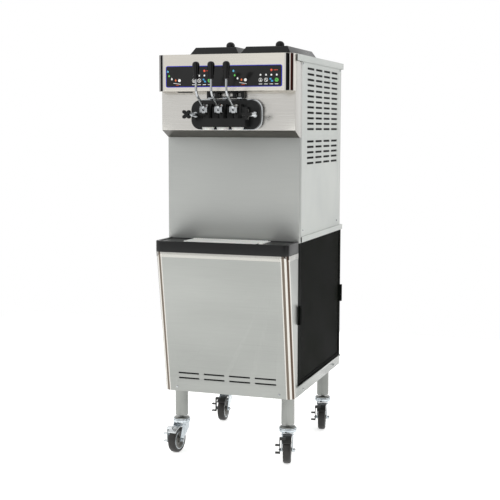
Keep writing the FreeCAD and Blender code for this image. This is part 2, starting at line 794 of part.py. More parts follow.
def freezer_door():
    """Moulded block: back plate, three upright valve bodies with pivot lugs, and a bar across the front."""
    plate = rounded_plate("0", DOOR_BACK, "door_thickness")
    web = box(("-bar_width / 2", "bar_width / 2"), (f"{VALVE_Y} - 4", f"{DOOR_FACE} + 1"), ("valve_bottom", "valve_top - 12"))
    bar = box(("-bar_width / 2", "bar_width / 2"), ("neck_front - bar_out", f"{VALVE_Y}"),
              ("valve_bottom", "valve_bottom + bar_height"))
    solids, holes = [plate, web, bar], []
    for index in VALVES.values():
        x = f"{index} * valve_pitch"
        solids.append(rod("z", x, VALVE_Y, "valve_bottom", "valve_radius", "valve_top - valve_bottom"))
        solids.append(box((f"{x} - lug_width / 2", f"{x} + lug_width / 2"), (PIVOT_Y, VALVE_Y),
                          ("pivot_level - lug_radius", "pivot_level + lug_radius")))
        solids.append(rod("x", f"{x} - lug_width / 2", PIVOT_Y, "pivot_level", "lug_radius", "lug_width"))
        holes.append(rod("z", x, VALVE_Y, "valve_bottom - 5", "valve_bore", "valve_top - valve_bottom + 20"))
        holes.append(box((f"{x} - tongue_width / 2 - seam * 2", f"{x} + tongue_width / 2 + seam * 2"),
                         (f"{PIVOT_Y} - 20", VALVE_Y), ("pivot_level - 14", "valve_top + 20")))
        holes.append(rod("x", f"{x} - lug_width", PIVOT_Y, "pivot_level", "pivot_pin + running_clearance", "2 * lug_width"))
    node("freezer_door", cut(fuse(*solids), *holes, *stud_holes()))


def door_hardware():
    """Two clamping studs and three lever pivot pins."""
    solids = []
    for sign in SIDES.values():
        solids.append(rod("y", f"{sign} * stud_offset", "neck_front - knob_out + knob_thickness", "barrel_level",
                          "stud_radius", f"{DISPENSE_FACE} - neck_front + knob_out - knob_thickness"))
    for index in VALVES.values():
        reach = "lug_width / 2 + yoke_gap + yoke_wall"
        solids.append(rod("x", f"{index} * valve_pitch - ({reach})", PIVOT_Y, "pivot_level", "pivot_pin", f"2 * ({reach})"))
    node("door_hardware", group(*solids))


def spout_caps():
    """Screw-on caps with a six-pointed outlet."""
    solids = []
    for index in VALVES.values():
        x = f"{index} * valve_pitch"
        level = "valve_bottom - spout_height"
        cap = cone("z", x, VALVE_Y, level, "spout_radius - 3", "spout_radius", "spout_height - seam")
        throat = rod("z", x, VALVE_Y, f"{level} + 3", "valve_bore", "spout_height")
        star = rod("z", x, VALVE_Y, f"{level} - 5", "spout_star * 0.6", "20")
        points = []
        for turn in range(3):
            blade = document.addObject("Part::Box", "Point")
            bind(blade, Length="2 * spout_star", Width="3", Height="20")
            blade.Placement.Rotation = FreeCAD.Rotation(V(0, 0, 1), 60 * turn)
            c, s = math.cos(math.radians(60 * turn)), math.sin(math.radians(60 * turn))
            place(blade, f"{x} - {c} * spout_star + {s} * 1.5", f"{VALVE_Y} - {s} * spout_star - {c} * 1.5", f"{level} - 5")
            points.append(blade)
        solids.append(cut(cap, throat, star, *points))
    node("spout_caps", group(*solids))


def draw_levers():
    """Chromed levers: a yoke on the pivot, a tongue into the piston and a bent rod up to the grip."""
    for name, index in VALVES.items():
        x = f"{index} * valve_pitch"
        cheeks = [rod("x", f"{x} + {start}", PIVOT_Y, "pivot_level", "yoke_radius", "yoke_wall")
                  for start in ("lug_width / 2 + yoke_gap", "-(lug_width / 2 + yoke_gap + yoke_wall)")]
        wide = "lug_width / 2 + yoke_gap + yoke_wall"
        bridge = box((f"{x} - ({wide})", f"{x} + {wide}"), (f"{PIVOT_Y} - yoke_radius - 3", f"{PIVOT_Y} - 8"),
                     ("pivot_level - 16", "pivot_level + 10"))
        tongue = box((f"{x} - tongue_width / 2", f"{x} + tongue_width / 2"),
                     (f"{PIVOT_Y} - yoke_radius", f"{PIVOT_Y} + tongue_reach"),
                     ("pivot_level - tongue_height / 2", "pivot_level + tongue_height / 2"))
        pin_hole = rod("x", f"{x} - 30", PIVOT_Y, "pivot_level", "pivot_pin + running_clearance", "60")
        node(f"draw_lever_{name}", cut(fuse(*cheeks, bridge, tongue, bent_rod(x)), pin_hole))
        node(f"lever_grip_{name}", lever_grip(x))


def bent_rod(x):
    """Rod that leaves the yoke forwards and upwards, then bends upright."""
    body = document.addObject("PartDesign::Body", "LeverRod")
    path = sketch_on(body, "YZ_Plane")
    top = ("neck_front - rod_out", "grip_level + 20")
    knee = ("neck_front - rod_out", "pivot_level + 5 + (rod_out - pivot_out - yoke_radius) * 0.65")
    start = (f"{PIVOT_Y} - yoke_radius + 3", "pivot_level + 3")
    a, b, c = [V(number(p), number(q), 0) for p, q in (top, knee, start)]
    bend = number("rod_bend")
    lower = (c - b).normalize()
    half_turn = (math.pi - lower.getAngle(a - b)) / 2
    reach = bend * math.tan(half_turn)
    p, q = b + (a - b).normalize() * reach, b + lower * reach
    middle = b + ((a - b).normalize() + lower).normalize() * (bend / math.cos(half_turn) - bend)
    upright = path.addGeometry(Part.LineSegment(a, p))
    arc = path.addGeometry(Part.Arc(p, middle, q))
    slope = path.addGeometry(Part.LineSegment(q, c))
    arc_start = 1 if path.getPoint(arc, 1).distanceToPoint(p) < 0.001 else 2
    path.addConstraint(Sketcher.Constraint("Tangent", upright, 2, arc, arc_start))
    path.addConstraint(Sketcher.Constraint("Tangent", arc, 3 - arc_start, slope, 1))
    path.addConstraint(Sketcher.Constraint("Vertical", upright))
    hold(path, "DistanceX", "top_out", top[0], -1, 1, upright, 1)
    hold(path, "DistanceY", "top_up", top[1], -1, 1, upright, 1)
    hold(path, "DistanceX", "yoke_out", start[0], -1, 1, slope, 2)
    hold(path, "DistanceY", "yoke_up", start[1], -1, 1, slope, 2)
    hold(path, "Radius", "bend", "rod_bend", arc)
    hold(path, "DistanceY", "knee_up", str(p.y), -1, 1, upright, 2)
    section = sketch_on(body, "XY_Plane")
    section.setExpression("AttachmentOffset.Base.z", formula(top[1]))
    ring = section.addGeometry(Part.Circle(V(0, number(top[0]), 0), V(0, 0, 1), number("rod_radius")))
    hold(section, "DistanceY", "ring_out", top[0], -1, 1, ring, 3)
    section.addConstraint(Sketcher.Constraint("PointOnObject", ring, 3, -2))
    hold(section, "Radius", "ring_round", "rod_radius", ring)
    document.recompute()
    pipe = body.newObject("PartDesign::AdditivePipe", "Pipe")
    pipe.Profile = section
    pipe.Spine = (path, ["Edge1", "Edge2", "Edge3"])
    document.recompute()
    return place(body, x)


def lever_grip(x):
    """Tapered moulded grip with a domed top, pressed on the rod."""
    y = "neck_front - rod_out"
    taper = cone("z", x, y, "grip_level", "grip_neck", "grip_radius", "grip_top - grip_radius - grip_level")
    dome = ball(x, y, "grip_top - grip_radius", "grip_radius")
    bore = rod("z", x, y, "grip_level - 5", "rod_radius", "25")
    return cut(fuse(taper, dome), bore)


def draw_pistons():
    """Valve pistons. The lever's tongue lifts each one through a pocket in its front."""
    for name, index in VALVES.items():
        x = f"{index} * valve_pitch"
        top = "valve_top - piston_gap"
        stem = rod("z", x, VALVE_Y, "valve_bottom + seam", "valve_bore - piston_clearance", f"{top} - valve_bottom - seam")
        pocket = box((f"{x} - tongue_width / 2 - 1", f"{x} + tongue_width / 2 + 1"),
                     (f"{VALVE_Y} - valve_bore - 5", f"{PIVOT_Y} + tongue_reach + 2"),
                     ("pivot_level - 11", "pivot_level + 11"))
        node(f"draw_piston_{name}", cut(stem, pocket))


def star_knobs():
    """Cross-shaped hand knobs on threaded spindles that clamp the door."""
    for side, sign in SIDES.items():
        x = f"{sign} * stud_offset"
        back = "neck_front - knob_out + knob_thickness"
        arms = []
        for turn in (0, 90):
            lobes = []
            for end in (-1, 1):
                lobe = document.addObject("Part::Cylinder", "Lobe")
                bind(lobe, Radius="knob_lobe", Height="knob_thickness")
                lobes.append(place(lobe, f"{end} * knob_lobe_reach", "0", "-knob_thickness / 2"))
            arm = document.addObject("Part::Box", "Arm")
            bind(arm, Length="2 * knob_lobe_reach", Width="1.5 * knob_lobe", Height="knob_thickness")
            place(arm, "-knob_lobe_reach", "-0.75 * knob_lobe", "-knob_thickness / 2")
            arms.append(place(fuse(arm, *lobes), axis=V(0, 0, 1), angle=str(turn + STAR_TURN[side])))
        head = place(fuse(*arms), x, "neck_front - knob_out + knob_thickness / 2", "barrel_level", V(1, 0, 0), "90")
        bore_radius = "stud_radius + running_clearance"
        spindle = rod("y", x, f"{back} + seam", "barrel_level", "spindle_radius",
                      f"({DOOR_FACE}) - ({back}) - 2 * seam")
        washer = rod("y", x, f"{DOOR_FACE} - 4", "barrel_level", "spindle_radius + 4", "4 - seam")
        bore = rod("y", x, back, "barrel_level", bore_radius, "90")
        node(f"star_knob_{side}", group(head, cut(fuse(spindle, washer), bore)))


def draw_switches():
    """Switch carrier under the head, with one switch body above each lever."""
    carrier = box(("-switch_bar / 2", "switch_bar / 2"), (f"{DISPENSE_FACE} - 24", f"{DISPENSE_FACE} - 1"),
                  ("head_level - 5", "head_level - seam / 3"))
    solids = [carrier]
    for offset in ("-switch_bar / 2", "-valve_pitch / 2 - 4", "valve_pitch / 2 - 4", "switch_bar / 2 - 8"):
        solids.append(box((offset, f"{offset} + 8"), (f"{DISPENSE_FACE} - 24", f"{DISPENSE_FACE} - 6"),
                          ("head_level - 26", "head_level - 4")))
    node("draw_switches", fuse(*solids))


# ----------------------------------------------------------------------------------------------
# Drip shelf
# ----------------------------------------------------------------------------------------------


def drip_shelf():
    """Black moulded shelf with rounded front corners and a well for the drip pan."""
    back = "neck_front - seam"
    outline = rectangle(("neck_front - shelf_out", back), ("shelf_top - shelf_height", "shelf_top"))
    block = round_edges(prism("YZ_Plane", outline, "cabinet_width"), "corner_radius", front_edges)
    block = round_edges(block, "2.5", lambda edge: edge.CenterOfMass.z > number("shelf_top") - 0.1
                        and edge.CenterOfMass.y < number("neck_front") - 10)
    recess = round_edges(
        prism("YZ_Plane", rectangle(("neck_front - shelf_out + 14", f"{back} - 5"), ("shelf_top - 3", "shelf_top + 3")),
              "cabinet_width - 28"),
        "corner_radius - 10", front_edges)
    notches = []
    for sign in SIDES.values():
        near, far = f"{sign} * ({HALF} - rebate_depth - seam)", f"{sign} * ({HALF} + 5)"
        notches.append(box((near, far) if sign > 0 else (far, near), ("neck_front - 8 - seam", "neck_front + 5"),
                           ("shelf_top - shelf_height - 5", "waist_level + seam / 3")))
    well = pan_block("1", ("shelf_top - 3 - pan_depth - seam", "shelf_top + 5"))
    node("drip_shelf", cut(block, recess, well, *notches))


def pan_block(margin, levels):
    """A block of the drip pan's plan, grown by a margin."""
    back = "neck_front - pan_back_gap"
    return box((f"-pan_width / 2 - ({margin})", f"pan_width / 2 + ({margin})"),
               (f"{back} - pan_length - ({margin})", f"{back} + ({margin})"), levels)


def drip_pan():
    """Pan that lifts out of the shelf."""
    top = "shelf_top - 3"
    pan = pan_block("0", (f"{top} - pan_depth", top))
    hollow = pan_block("-pan_wall", (f"{top} - pan_depth + pan_wall", f"{top} + 5"))
    node("drip_pan", cut(pan, hollow))


def drip_grid():
    """Slotted cup rest that lies on the pan's rim, with a notch for a finger."""
    low = "shelf_top - 3 + seam"
    back = "neck_front - pan_back_gap"
    plate = prism("XY_Plane", rectangle(("-pan_width / 2", "pan_width / 2"), (f"{back} - pan_length", back)),
                  "grid_thickness", z=f"{low} + grid_thickness / 2")
    slot = sketch_on(plate, "XY_Plane")
    first_x = "-(grid_slot_columns - 1) / 2 * grid_slot_pitch - grid_slot_width / 2"
    row_pitch = "grid_slot_length + grid_rib"
    first_y = f"{back} - pan_length / 2 - (grid_slot_rows * ({row_pitch}) - grid_rib) / 2"
    polygon(slot, rectangle((first_x, f"{first_x} + grid_slot_width"), (first_y, f"{first_y} + grid_slot_length")))
    slot_pattern(plate, slot, "grid_slot_columns", "grid_slot_pitch", "grid_slot_rows", row_pitch)
    finger = box(("pan_width / 2 - 24", "pan_width / 2 - 12"), (f"{back} - pan_length - 5", f"{back} - pan_length + 28"),
                 (f"{low} - 5", f"{low} + grid_thickness + 5"))
    node("drip_grid", cut(plate, finger))


# ----------------------------------------------------------------------------------------------
# Freezing and refrigeration
# ----------------------------------------------------------------------------------------------

BARREL_REAR = "neck_front + barrel_back"


def freezing_barrels():
    """Jacketed barrels, open at the front and bored at the back for the beater's shaft."""
    solids = []
    for sign in SIDES.values():
        x = f"{sign} * barrel_offset"
        front = f"{DOOR_BACK} + seam"
        shell = rod("y", x, front, "barrel_level", "barrel_radius", f"{BARREL_REAR} - ({front})")
        bore = rod("y", x, f"{front} - 5", "barrel_level", "barrel_bore", f"{BARREL_REAR} - ({front}) - 3")
        shaft = rod("y", x, f"{BARREL_REAR} - 20", "barrel_level", "shaft_radius + running_clearance", "30")
        feed = rod("z", x, "neck_front + hopper_back", "barrel_level", "7", "60")
        solids.append(cut(shell, bore, shaft, feed))
    node("freezing_barrels", group(*solids))


def beaters():
    """Scraper shafts: a shaft, spiders and two blades that run just inside the barrel's wall."""
    for side, sign in SIDES.items():
        x = f"{sign} * barrel_offset"
        start = f"{DOOR_BACK} + 6"
        shaft = rod("y", x, start, "barrel_level", "shaft_radius", f"{BARREL_REAR} + 25 - ({start})")
        parts = [shaft]
        for step in range(4):
            y = f"{start} + 12 + {step} * (barrel_back - 10) / 3.6"
            parts.append(box((f"{x} - 33", f"{x} + 33"), (y, f"{y} + 5"), ("barrel_level - 6", "barrel_level + 6")))
        for end in (-1, 1):
            near, far = f"{x} + {end} * 31", f"{x} + {end} * 37"
            parts.append(box((near, far) if end > 0 else (far, near), (f"{start} + 6", f"{BARREL_REAR} - 20"),
                             ("barrel_level - 7", "barrel_level + 7")))
        node(f"beater_{side}", fuse(*parts))


def gearmotors():
    """Gearbox and motor behind each barrel, standing on the drive shelf."""
    solids = []
    for sign in SIDES.values():
        x = f"{sign} * barrel_offset"
        back = f"{BARREL_REAR} + gearbox_length"
        case = box((f"{x} - gearbox_size / 2", f"{x} + gearbox_size / 2"), (f"{BARREL_REAR} + seam", back),
                   ("drive_shelf_level", "drive_shelf_level + gearbox_size"))
        socket = rod("y", x, BARREL_REAR, "barrel_level", "shaft_radius + running_clearance", "30")
        solids.append(cut(case, socket))
        motor = rod("y", x, f"{back} + seam", "barrel_level", "motor_radius", "motor_length")
        foot = box((f"{x} - 35", f"{x} + 35"), (f"{back} + 30", f"{back} + motor_length - 30"),
                   ("drive_shelf_level", "barrel_level"))
        solids.append(fuse(motor, foot))
    node("gearmotors", group(*solids))


def compressors():
    """Hermetic compressors bolted to the floor pan."""
    solids = []
    for x, back, scale in (("-100", "neck_front + 170", "1"), ("-100", "neck_front + 400", "0.85")):
        floor = "cabinet_level + 2 * sheet_steel"
        radius, height = f"{scale} * compressor_radius", f"{scale} * compressor_height"
        feet = box((f"{x} - {radius} * 0.9", f"{x} + {radius} * 0.9"), (f"{back} - {radius} * 0.7", f"{back} + {radius} * 0.7"),
                   (floor, f"{floor} + 8"))
        can = rod("z", x, back, f"{floor} + 4", radius, f"{height} - 30")
        dome = cone("z", x, back, f"{floor} + {height} - 26", radius, f"{radius} * 0.7", "26")
        inside = rod("z", x, back, f"{floor} + 12", f"{radius} - compressor_wall", f"{height} - 44")
        solids.append(cut(fuse(feet, can, dome), inside))
    node("compressors", group(*solids))


def condenser():
    """Finned condenser with header plates and tubes, behind the right-hand filter."""
    outer = "cabinet_width / 2 - rebate_depth - 30"
    front, back = "neck_front + 110", "neck_front + 520"
    floor, top = "cabinet_level + 2 * sheet_steel", "cabinet_level + 400"
    plates = [box((f"{outer} - 46", f"{outer} + 4"), span, (floor, top))
              for span in ((front, f"{front} + 3"), (f"{back} - 3", back))]
    pitch = f"({back} - ({front})) / condenser_fins"
    for fin in range(1, SIZES["condenser_fins"]):
        place_of = f"{front} + {fin} * ({pitch})"
        plates.append(box((f"{outer} - 40", outer), (place_of, f"{place_of} + 1.2"), (f"{floor} + 8", f"{top} - 3")))
    for row in range(6):
        for depth in (10, 30):
            plates.append(rod("y", f"{outer} - {depth}", f"{front} - 12", f"{floor} + 40 + {row} * 60", "5",
                              f"{back} - ({front}) + 24"))
    node("condenser", fuse(*plates))


FAN_X = "cabinet_width / 2 - rebate_depth - 30 - 40 - 6"


def fan_shroud():
    """Plate with a ring for the fan, and the fan's motor on a three-armed bracket."""
    y, z = "neck_front + 315", "cabinet_level + 205"
    plate = box((f"{FAN_X} - 3", FAN_X), ("neck_front + 110", "neck_front + 520"),
                ("cabinet_level + 2 * sheet_steel", "cabinet_level + 400"))
    ring = rod("x", f"{FAN_X} - 45", y, z, "fan_radius + 6", "45")
    bore = rod("x", f"{FAN_X} - 60", y, z, "fan_radius + 3", "80")
    motor = rod("x", f"{FAN_X} - 100", y, z, "36", "60")
    shaft = rod("x", f"{FAN_X} - 45", y, z, "4", "38")
    arms = [box((f"{FAN_X} - 70", f"{FAN_X} - 64"), (f"{y} - fan_radius - 7", f"{y} + fan_radius + 7"),
                (f"{z} - 8", f"{z} + 8"))]
    for end in (-1, 1):
        side = f"{y} + {end} * (fan_radius + 7)"
        arms.append(box((f"{FAN_X} - 70", f"{FAN_X} - 2"), (f"{side} - 3", f"{side} + 3"), (f"{z} - 8", f"{z} + 8")))
    node("fan_shroud", fuse(cut(fuse(plate, ring), bore), motor, shaft, *arms))


def fan_blade():
    """Five-bladed fan rotor on the motor's shaft."""
    y, z = "neck_front + 315", "cabinet_level + 205"
    hub = cut(rod("x", f"{FAN_X} - 32", y, z, "fan_hub", "24"),
              rod("x", f"{FAN_X} - 50", y, z, "4 + running_clearance", "60"))
    blades = []
    for turn in range(5):
        blade = document.addObject("Part::Box", "Blade")
        bind(blade, Length="2.5", Width="52", Height="fan_radius - fan_hub + 2")
        blade.Placement = FreeCAD.Placement(V(0, 0, 0), FreeCAD.Rotation(V(0, 0, 1), 22))
        lifted = place(blade, "0", "-26", "fan_hub - 3")
        blade_set = document.addObject("Part::Compound", "BladeTurn")
        blade_set.Links = [lifted]
        blade_set.Placement = FreeCAD.Placement(V(0, 0, 0), FreeCAD.Rotation(V(1, 0, 0), 72 * turn))
        blades.append(blade_set)
    rotor = document.addObject("Part::Compound", "Blades")
    rotor.Links = blades
    place(rotor, f"{FAN_X} - 12", y, z)
    node("fan_blade", fuse(hub, rotor))


GLAND_X = "100"
GLAND_LEVEL = "waist_level - 70"


def control_box():
    """Electrical box on the inside of the lower rear panel, with the cable gland that passes through it."""
    rear = f"{LOWER_REAR} - sheet_steel - seam"
    shell = box(("20", "180"), (f"{rear} - 90", rear), ("waist_level - 120", "waist_level - 20"))
    hollow = box(("20 + sheet_steel", "180 - sheet_steel"),
                 (f"{rear} - 90 + sheet_steel", f"{rear} - sheet_steel"),
                 ("waist_level - 120 + sheet_steel", "waist_level - 20 - sheet_steel"))
    stem = rod("y", GLAND_X, f"{rear} - 10", GLAND_LEVEL, "gland_radius", "10 + 2 * seam + sheet_steel")
    cap = cone("y", GLAND_X, f"{LOWER_REAR} + seam", GLAND_LEVEL, "gland_radius + 4", "gland_radius - 3", "9")
    bore = rod("y", GLAND_X, f"{rear} - 20", GLAND_LEVEL, "gland_bore", "60")
    node("control_box", cut(fuse(cut(shell, hollow), stem, cap), bore))


# ----------------------------------------------------------------------------------------------
# Fasteners, legs and casters
# ----------------------------------------------------------------------------------------------


RACE = "(2 * wheel_radius + caster_rise)"
LEG_FOOT = f"({RACE} + stem_rise)"
HUB = "(wheel_radius - tyre_thickness)"


def screw(axis, sign, x, y, z):
    """A low screw head on a surface that faces along the axis."""
    start = {"x": (x if sign > 0 else f"{x} - screw_height", y, z), "y": (x, f"{y} - screw_height", z)}[axis]
    return rod(axis, *start, "screw_radius", "screw_height")


def panel_screws():
    """Screws of the side panels, the bottom rails and the lower front."""
    heads = []
    for sign in SIDES.values():
        face = f"{sign} * ({HALF})"
        for back, level in (("40", "deck_level - 31"), ("upper_depth - 24", "deck_level - 31"),
                            ("50", "waist_level + waist_lip + 22"), ("upper_depth - 60", "waist_level + waist_lip + 22"),
                            ("71", "cabinet_level + 14"), ("538", "cabinet_level + 14")):
            heads.append(screw("x", sign, face, f"neck_front + {back}", level))
        face_y = f"neck_front - foot_out - ({LEAN}) * (screw_rise + screw_radius) - seam / 3"
        heads.append(screw("y", -1, f"{sign} * 205", face_y, "cabinet_level + screw_rise"))
    node("panel_screws", group(*heads))


def legs():
    """Leg tubes with mounting plates, each with a caster stem and its fixed upper race."""
    solids = []
    for side, leg, _heading in CASTERS.values():
        x, y = f"{side} * leg_offset", f"neck_front + {leg}"
        tube = rod("z", x, y, LEG_FOOT, "leg_radius", f"cabinet_level - ({LEG_FOOT})")
        flange = box((f"{x} - 27", f"{x} + 27"), (f"{y} - 34", f"{y} + 34"), ("cabinet_level - 4", "cabinet_level"))
        hollow = rod("z", x, y, f"{LEG_FOOT} + 12", "leg_radius - leg_wall", f"cabinet_level - ({LEG_FOOT}) - 12 - 4")
        stem = rod("z", x, y, RACE, "stem_radius", "stem_rise + 5")
        nut = rod("z", x, y, f"{LEG_FOOT} - 5", "stem_radius + 5", "6")
        race = rod("z", x, y, RACE, "race_radius", "4")
        solids.append(fuse(cut(fuse(tube, flange), hollow), stem, nut, race))
    node("legs", group(*solids))


def caster_place(thing, side, leg, heading):
    """Turns a caster piece, built round its own swivel axis, and sets it under its leg."""
    return place(thing, f"{side} * leg_offset", f"neck_front + {leg}", "0", V(0, 0, 1), str(heading))


def caster_fork():
    """Pressed fork: swivel cup, two cheeks down to the axle, and the axle bolt."""
    top = f"{RACE} - seam"
    cup = rod("z", "0", "0", f"{top} - swivel_height", "swivel_radius", "swivel_height")
    rim = cone("z", "0", "0", f"{top} - swivel_height - 4", "swivel_radius - 6", "swivel_radius", "4")
    solids = [cup, rim]
    for sign in SIDES.values():
        cheek = prism("YZ_Plane", [
            ("-trail - 9", "wheel_radius - 6"), ("-trail + 9", "wheel_radius - 6"),
            ("20", "wheel_radius + 36"), ("24", f"{top} - 3"), ("-22", f"{top} - 3"), ("-trail - 11", "wheel_radius + 8"),
        ], "fork_wall", x=f"{sign} * (fork_gap / 2 + fork_wall / 2)")
        solids.append(round_edges(cheek, "6", lambda edge: runs(edge, "x") and edge.CenterOfMass.z < 60))
    solids.append(rod("x", "-fork_gap / 2 - fork_wall - 4", "-trail", "wheel_radius", "axle_radius + 3", "4"))
    solids.append(rod("x", "fork_gap / 2 + fork_wall", "-trail", "wheel_radius", "axle_radius + 3", "5"))
    solids.append(rod("x", "-fork_gap / 2 - fork_wall - 1", "-trail", "wheel_radius", "axle_radius",
                      "fork_gap + 2 * fork_wall + 2"))
    pivot = rod("x", "-fork_gap / 2 - fork_wall - 2", "-14", f"{RACE} - 25", "2.5", "fork_gap + 2 * fork_wall + 4")
    solids.append(pivot)
    return fuse(*solids)


def caster_wheel():
    """Hub and tyre, with the tyre's edges rounded."""
    tyre = wheel_ring(HUB, "wheel_radius", "wheel_width", "tyre_edge")
    hub = wheel_ring("axle_radius + running_clearance", f"{HUB} - seam / 10", "wheel_width - 6", "1.5")
    dishes = [cone("x", f"{start}", "-trail", "wheel_radius", near, far, "7")
              for start, near, far in (("-(wheel_width - 6) / 2 - 1", f"{HUB} - 6", f"{HUB} - 14"),
                                       ("(wheel_width - 6) / 2 - 6", f"{HUB} - 14", f"{HUB} - 6"))]
    boss = rod("x", "-wheel_width / 2 - 2.5", "-trail", "wheel_radius", "axle_radius + 6", "wheel_width + 5")
    bore = rod("x", "-30", "-trail", "wheel_radius", "axle_radius + running_clearance", "60")
    return group(tyre, cut(fuse(cut(hub, *dishes), boss), bore))


def wheel_ring(inner, outer, width, edge_radius):
    """A ring about the axle with rounded outer edges."""
    body = document.addObject("PartDesign::Body", "Ring")
    sketch = sketch_on(body, "XY_Plane")
    polygon(sketch, rectangle((f"-({width}) / 2", f"({width}) / 2"), (inner, outer)))
    turn = body.newObject("PartDesign::Revolution", "Turn")
    turn.Profile = sketch
    turn.ReferenceAxis = (sketch, ["H_Axis"])
    document.recompute()
    limit = number(outer)
    round_edges(body, edge_radius, lambda edge: isinstance(edge.Curve, Part.Circle) and edge.Curve.Radius > limit - 0.01)
    return place(body, "0", "-trail", "wheel_radius")


def caster_brake():
    """Brake lever: a shoe plate over the tyre, an arm down the side and two toe pads."""
    low, high = "2 * wheel_radius + brake_gap", "2 * wheel_radius + brake_gap + brake_plate"
    shoe = prism("YZ_Plane", [
        ("-8", low), ("-8", high), ("-trail - 10", high), ("-trail - 27", f"{high} - 5"),
        ("-trail - 43", f"{high} - 15"), ("-trail - 43", f"{high} - 18"), ("-trail - 27", f"{low} - 5.5"),
        ("-trail - 10", low),
    ], "fork_gap - 3")
    sides = [box((f"{start}", f"{start} + 2"), ("-20", "-8"), (f"{RACE} - 30", f"{high} - 0.5"))
             for start in ("-fork_gap / 2 + 1.5", "fork_gap / 2 - 3.5")]
    arm_x = "-fork_gap / 2 - fork_wall - 4 - brake_plate"
    bridge = box((arm_x, "-5"), ("-trail - 30", "-trail - 12"), (f"{low} - 6", high))
    swept = rod("x", "-40", "-trail", "wheel_radius", "wheel_radius + brake_gap", "80")
    arm = box((arm_x, f"{arm_x} + brake_plate"), ("-trail - 30", "-trail - 14"), ("wheel_radius - 8", high))
    toes = [box((f"{arm_x} - 16", f"{arm_x} + 1"), ("-trail - 29", "-trail - 15"), (level, f"{level} + 5"))
            for level in ("wheel_radius + 22", "wheel_radius - 7")]
    pivot = rod("x", "-40", "-14", f"{RACE} - 25", "2.5 + running_clearance", "80")
    return cut(fuse(shoe, *sides, cut(bridge, swept), arm, *toes), pivot)


def casters():
    for name, (side, leg, heading) in CASTERS.items():
        for piece, build in (("fork", caster_fork), ("wheel", caster_wheel), ("brake", caster_brake)):
            node(f"caster_{piece}_{name}", caster_place(build(), side, leg, heading))


# ----------------------------------------------------------------------------------------------
# Build, check and write
# ----------------------------------------------------------------------------------------------

BUILDERS = [
    base_frame, legs, lower_front_panel, side_frames, air_filters, rear_panels, waist_shelf,
    upper_side_panels, neck_panel, dispense_panel, head_fascia, control_overlay, top_deck,
    hopper_tanks, feed_tubes, hopper_lids, door_trim_plate, freezer_door, door_hardware, spout_caps,
    draw_levers, draw_pistons, star_knobs, draw_switches, drip_shelf, drip_pan, drip_grid,
    freezing_barrels, beaters, gearmotors, compressors, condenser, fan_shroud, fan_blade,
    control_box, panel_screws, casters,
]

for build in BUILDERS:
    build()
document.recompute()

failed = [thing.Name for thing in document.Objects if {"Invalid", "Error"} & set(thing.State)]
failed += [name for name, thing in NODES.items()
           if thing.Shape.isNull() or not thing.Shape.isValid() or not thing.Shape.Solids]
if failed:
    raise SystemExit(f"these objects failed: {failed}")

os.makedirs("parts", exist_ok=True)
for name, thing in NODES.items():
    thing.Shape.exportStep(f"parts/{name}.step")
print(f"wrote {len(NODES)} sub-parts")
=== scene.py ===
"""Looks of a floor-standing soft-serve ice cream machine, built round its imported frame."""

import json
import math

import bmesh
import bpy
from mathutils import Matrix, Vector

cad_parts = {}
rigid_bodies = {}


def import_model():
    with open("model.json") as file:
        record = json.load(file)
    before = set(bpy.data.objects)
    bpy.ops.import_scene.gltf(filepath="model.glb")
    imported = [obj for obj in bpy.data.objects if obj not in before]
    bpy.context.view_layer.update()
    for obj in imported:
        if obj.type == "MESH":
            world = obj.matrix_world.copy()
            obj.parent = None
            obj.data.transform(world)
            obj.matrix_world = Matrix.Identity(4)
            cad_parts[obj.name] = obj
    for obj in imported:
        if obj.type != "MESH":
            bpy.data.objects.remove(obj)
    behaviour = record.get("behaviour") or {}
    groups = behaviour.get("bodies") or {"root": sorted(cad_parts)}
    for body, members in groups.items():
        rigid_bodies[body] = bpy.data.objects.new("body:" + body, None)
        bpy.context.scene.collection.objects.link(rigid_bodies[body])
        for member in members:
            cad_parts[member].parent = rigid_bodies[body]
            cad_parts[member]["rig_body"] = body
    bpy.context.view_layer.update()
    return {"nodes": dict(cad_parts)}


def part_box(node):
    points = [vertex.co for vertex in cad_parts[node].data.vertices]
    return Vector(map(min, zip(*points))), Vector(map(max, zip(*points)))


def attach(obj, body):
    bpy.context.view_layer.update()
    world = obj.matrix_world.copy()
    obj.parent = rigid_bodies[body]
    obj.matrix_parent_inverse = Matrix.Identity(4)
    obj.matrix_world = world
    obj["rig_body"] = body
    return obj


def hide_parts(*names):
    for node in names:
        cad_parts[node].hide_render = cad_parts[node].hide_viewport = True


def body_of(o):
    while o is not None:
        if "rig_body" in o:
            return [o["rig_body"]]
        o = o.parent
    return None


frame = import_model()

MM = 0.001
X, Y, Z = Vector((1, 0, 0)), Vector((0, 1, 0)), Vector((0, 0, 1))

# ------------------------------------------------------------------------------------------
# Bench: how a piece is started, shaped and finished. Sizes are in millimetres.
# ------------------------------------------------------------------------------------------


def clear_bench():
    """Leaves edit mode with nothing selected."""
    if bpy.context.mode != "OBJECT":
        bpy.ops.object.mode_set(mode="OBJECT")
    bpy.ops.object.select_all(action="DESELECT")


def open_piece(piece):
    """Opens a piece for editing, all of it selected."""
    clear_bench()
    bpy.context.view_layer.objects.active = piece
    piece.select_set(True)
    bpy.ops.object.mode_set(mode="EDIT")
    bpy.ops.mesh.select_mode(type="VERT")
    bpy.ops.mesh.select_all(action="SELECT")


def pick_faces(piece, wanted):
    """Selects the faces of the open piece for which wanted(face) holds."""
    bpy.ops.mesh.select_mode(type="FACE")
    bpy.ops.mesh.select_all(action="DESELECT")
    mesh = bmesh.from_edit_mesh(piece.data)
    for face in mesh.faces:
        face.select_set(bool(wanted(face)))
    bmesh.update_edit_mesh(piece.data)


def weld(piece, reach=0.002):
    """Merges doubled points and turns every face outwards."""
    open_piece(piece)
    bpy.ops.mesh.remove_doubles(threshold=reach * MM)
    bpy.ops.mesh.normals_make_consistent(inside=False)
    clear_bench()
    return piece


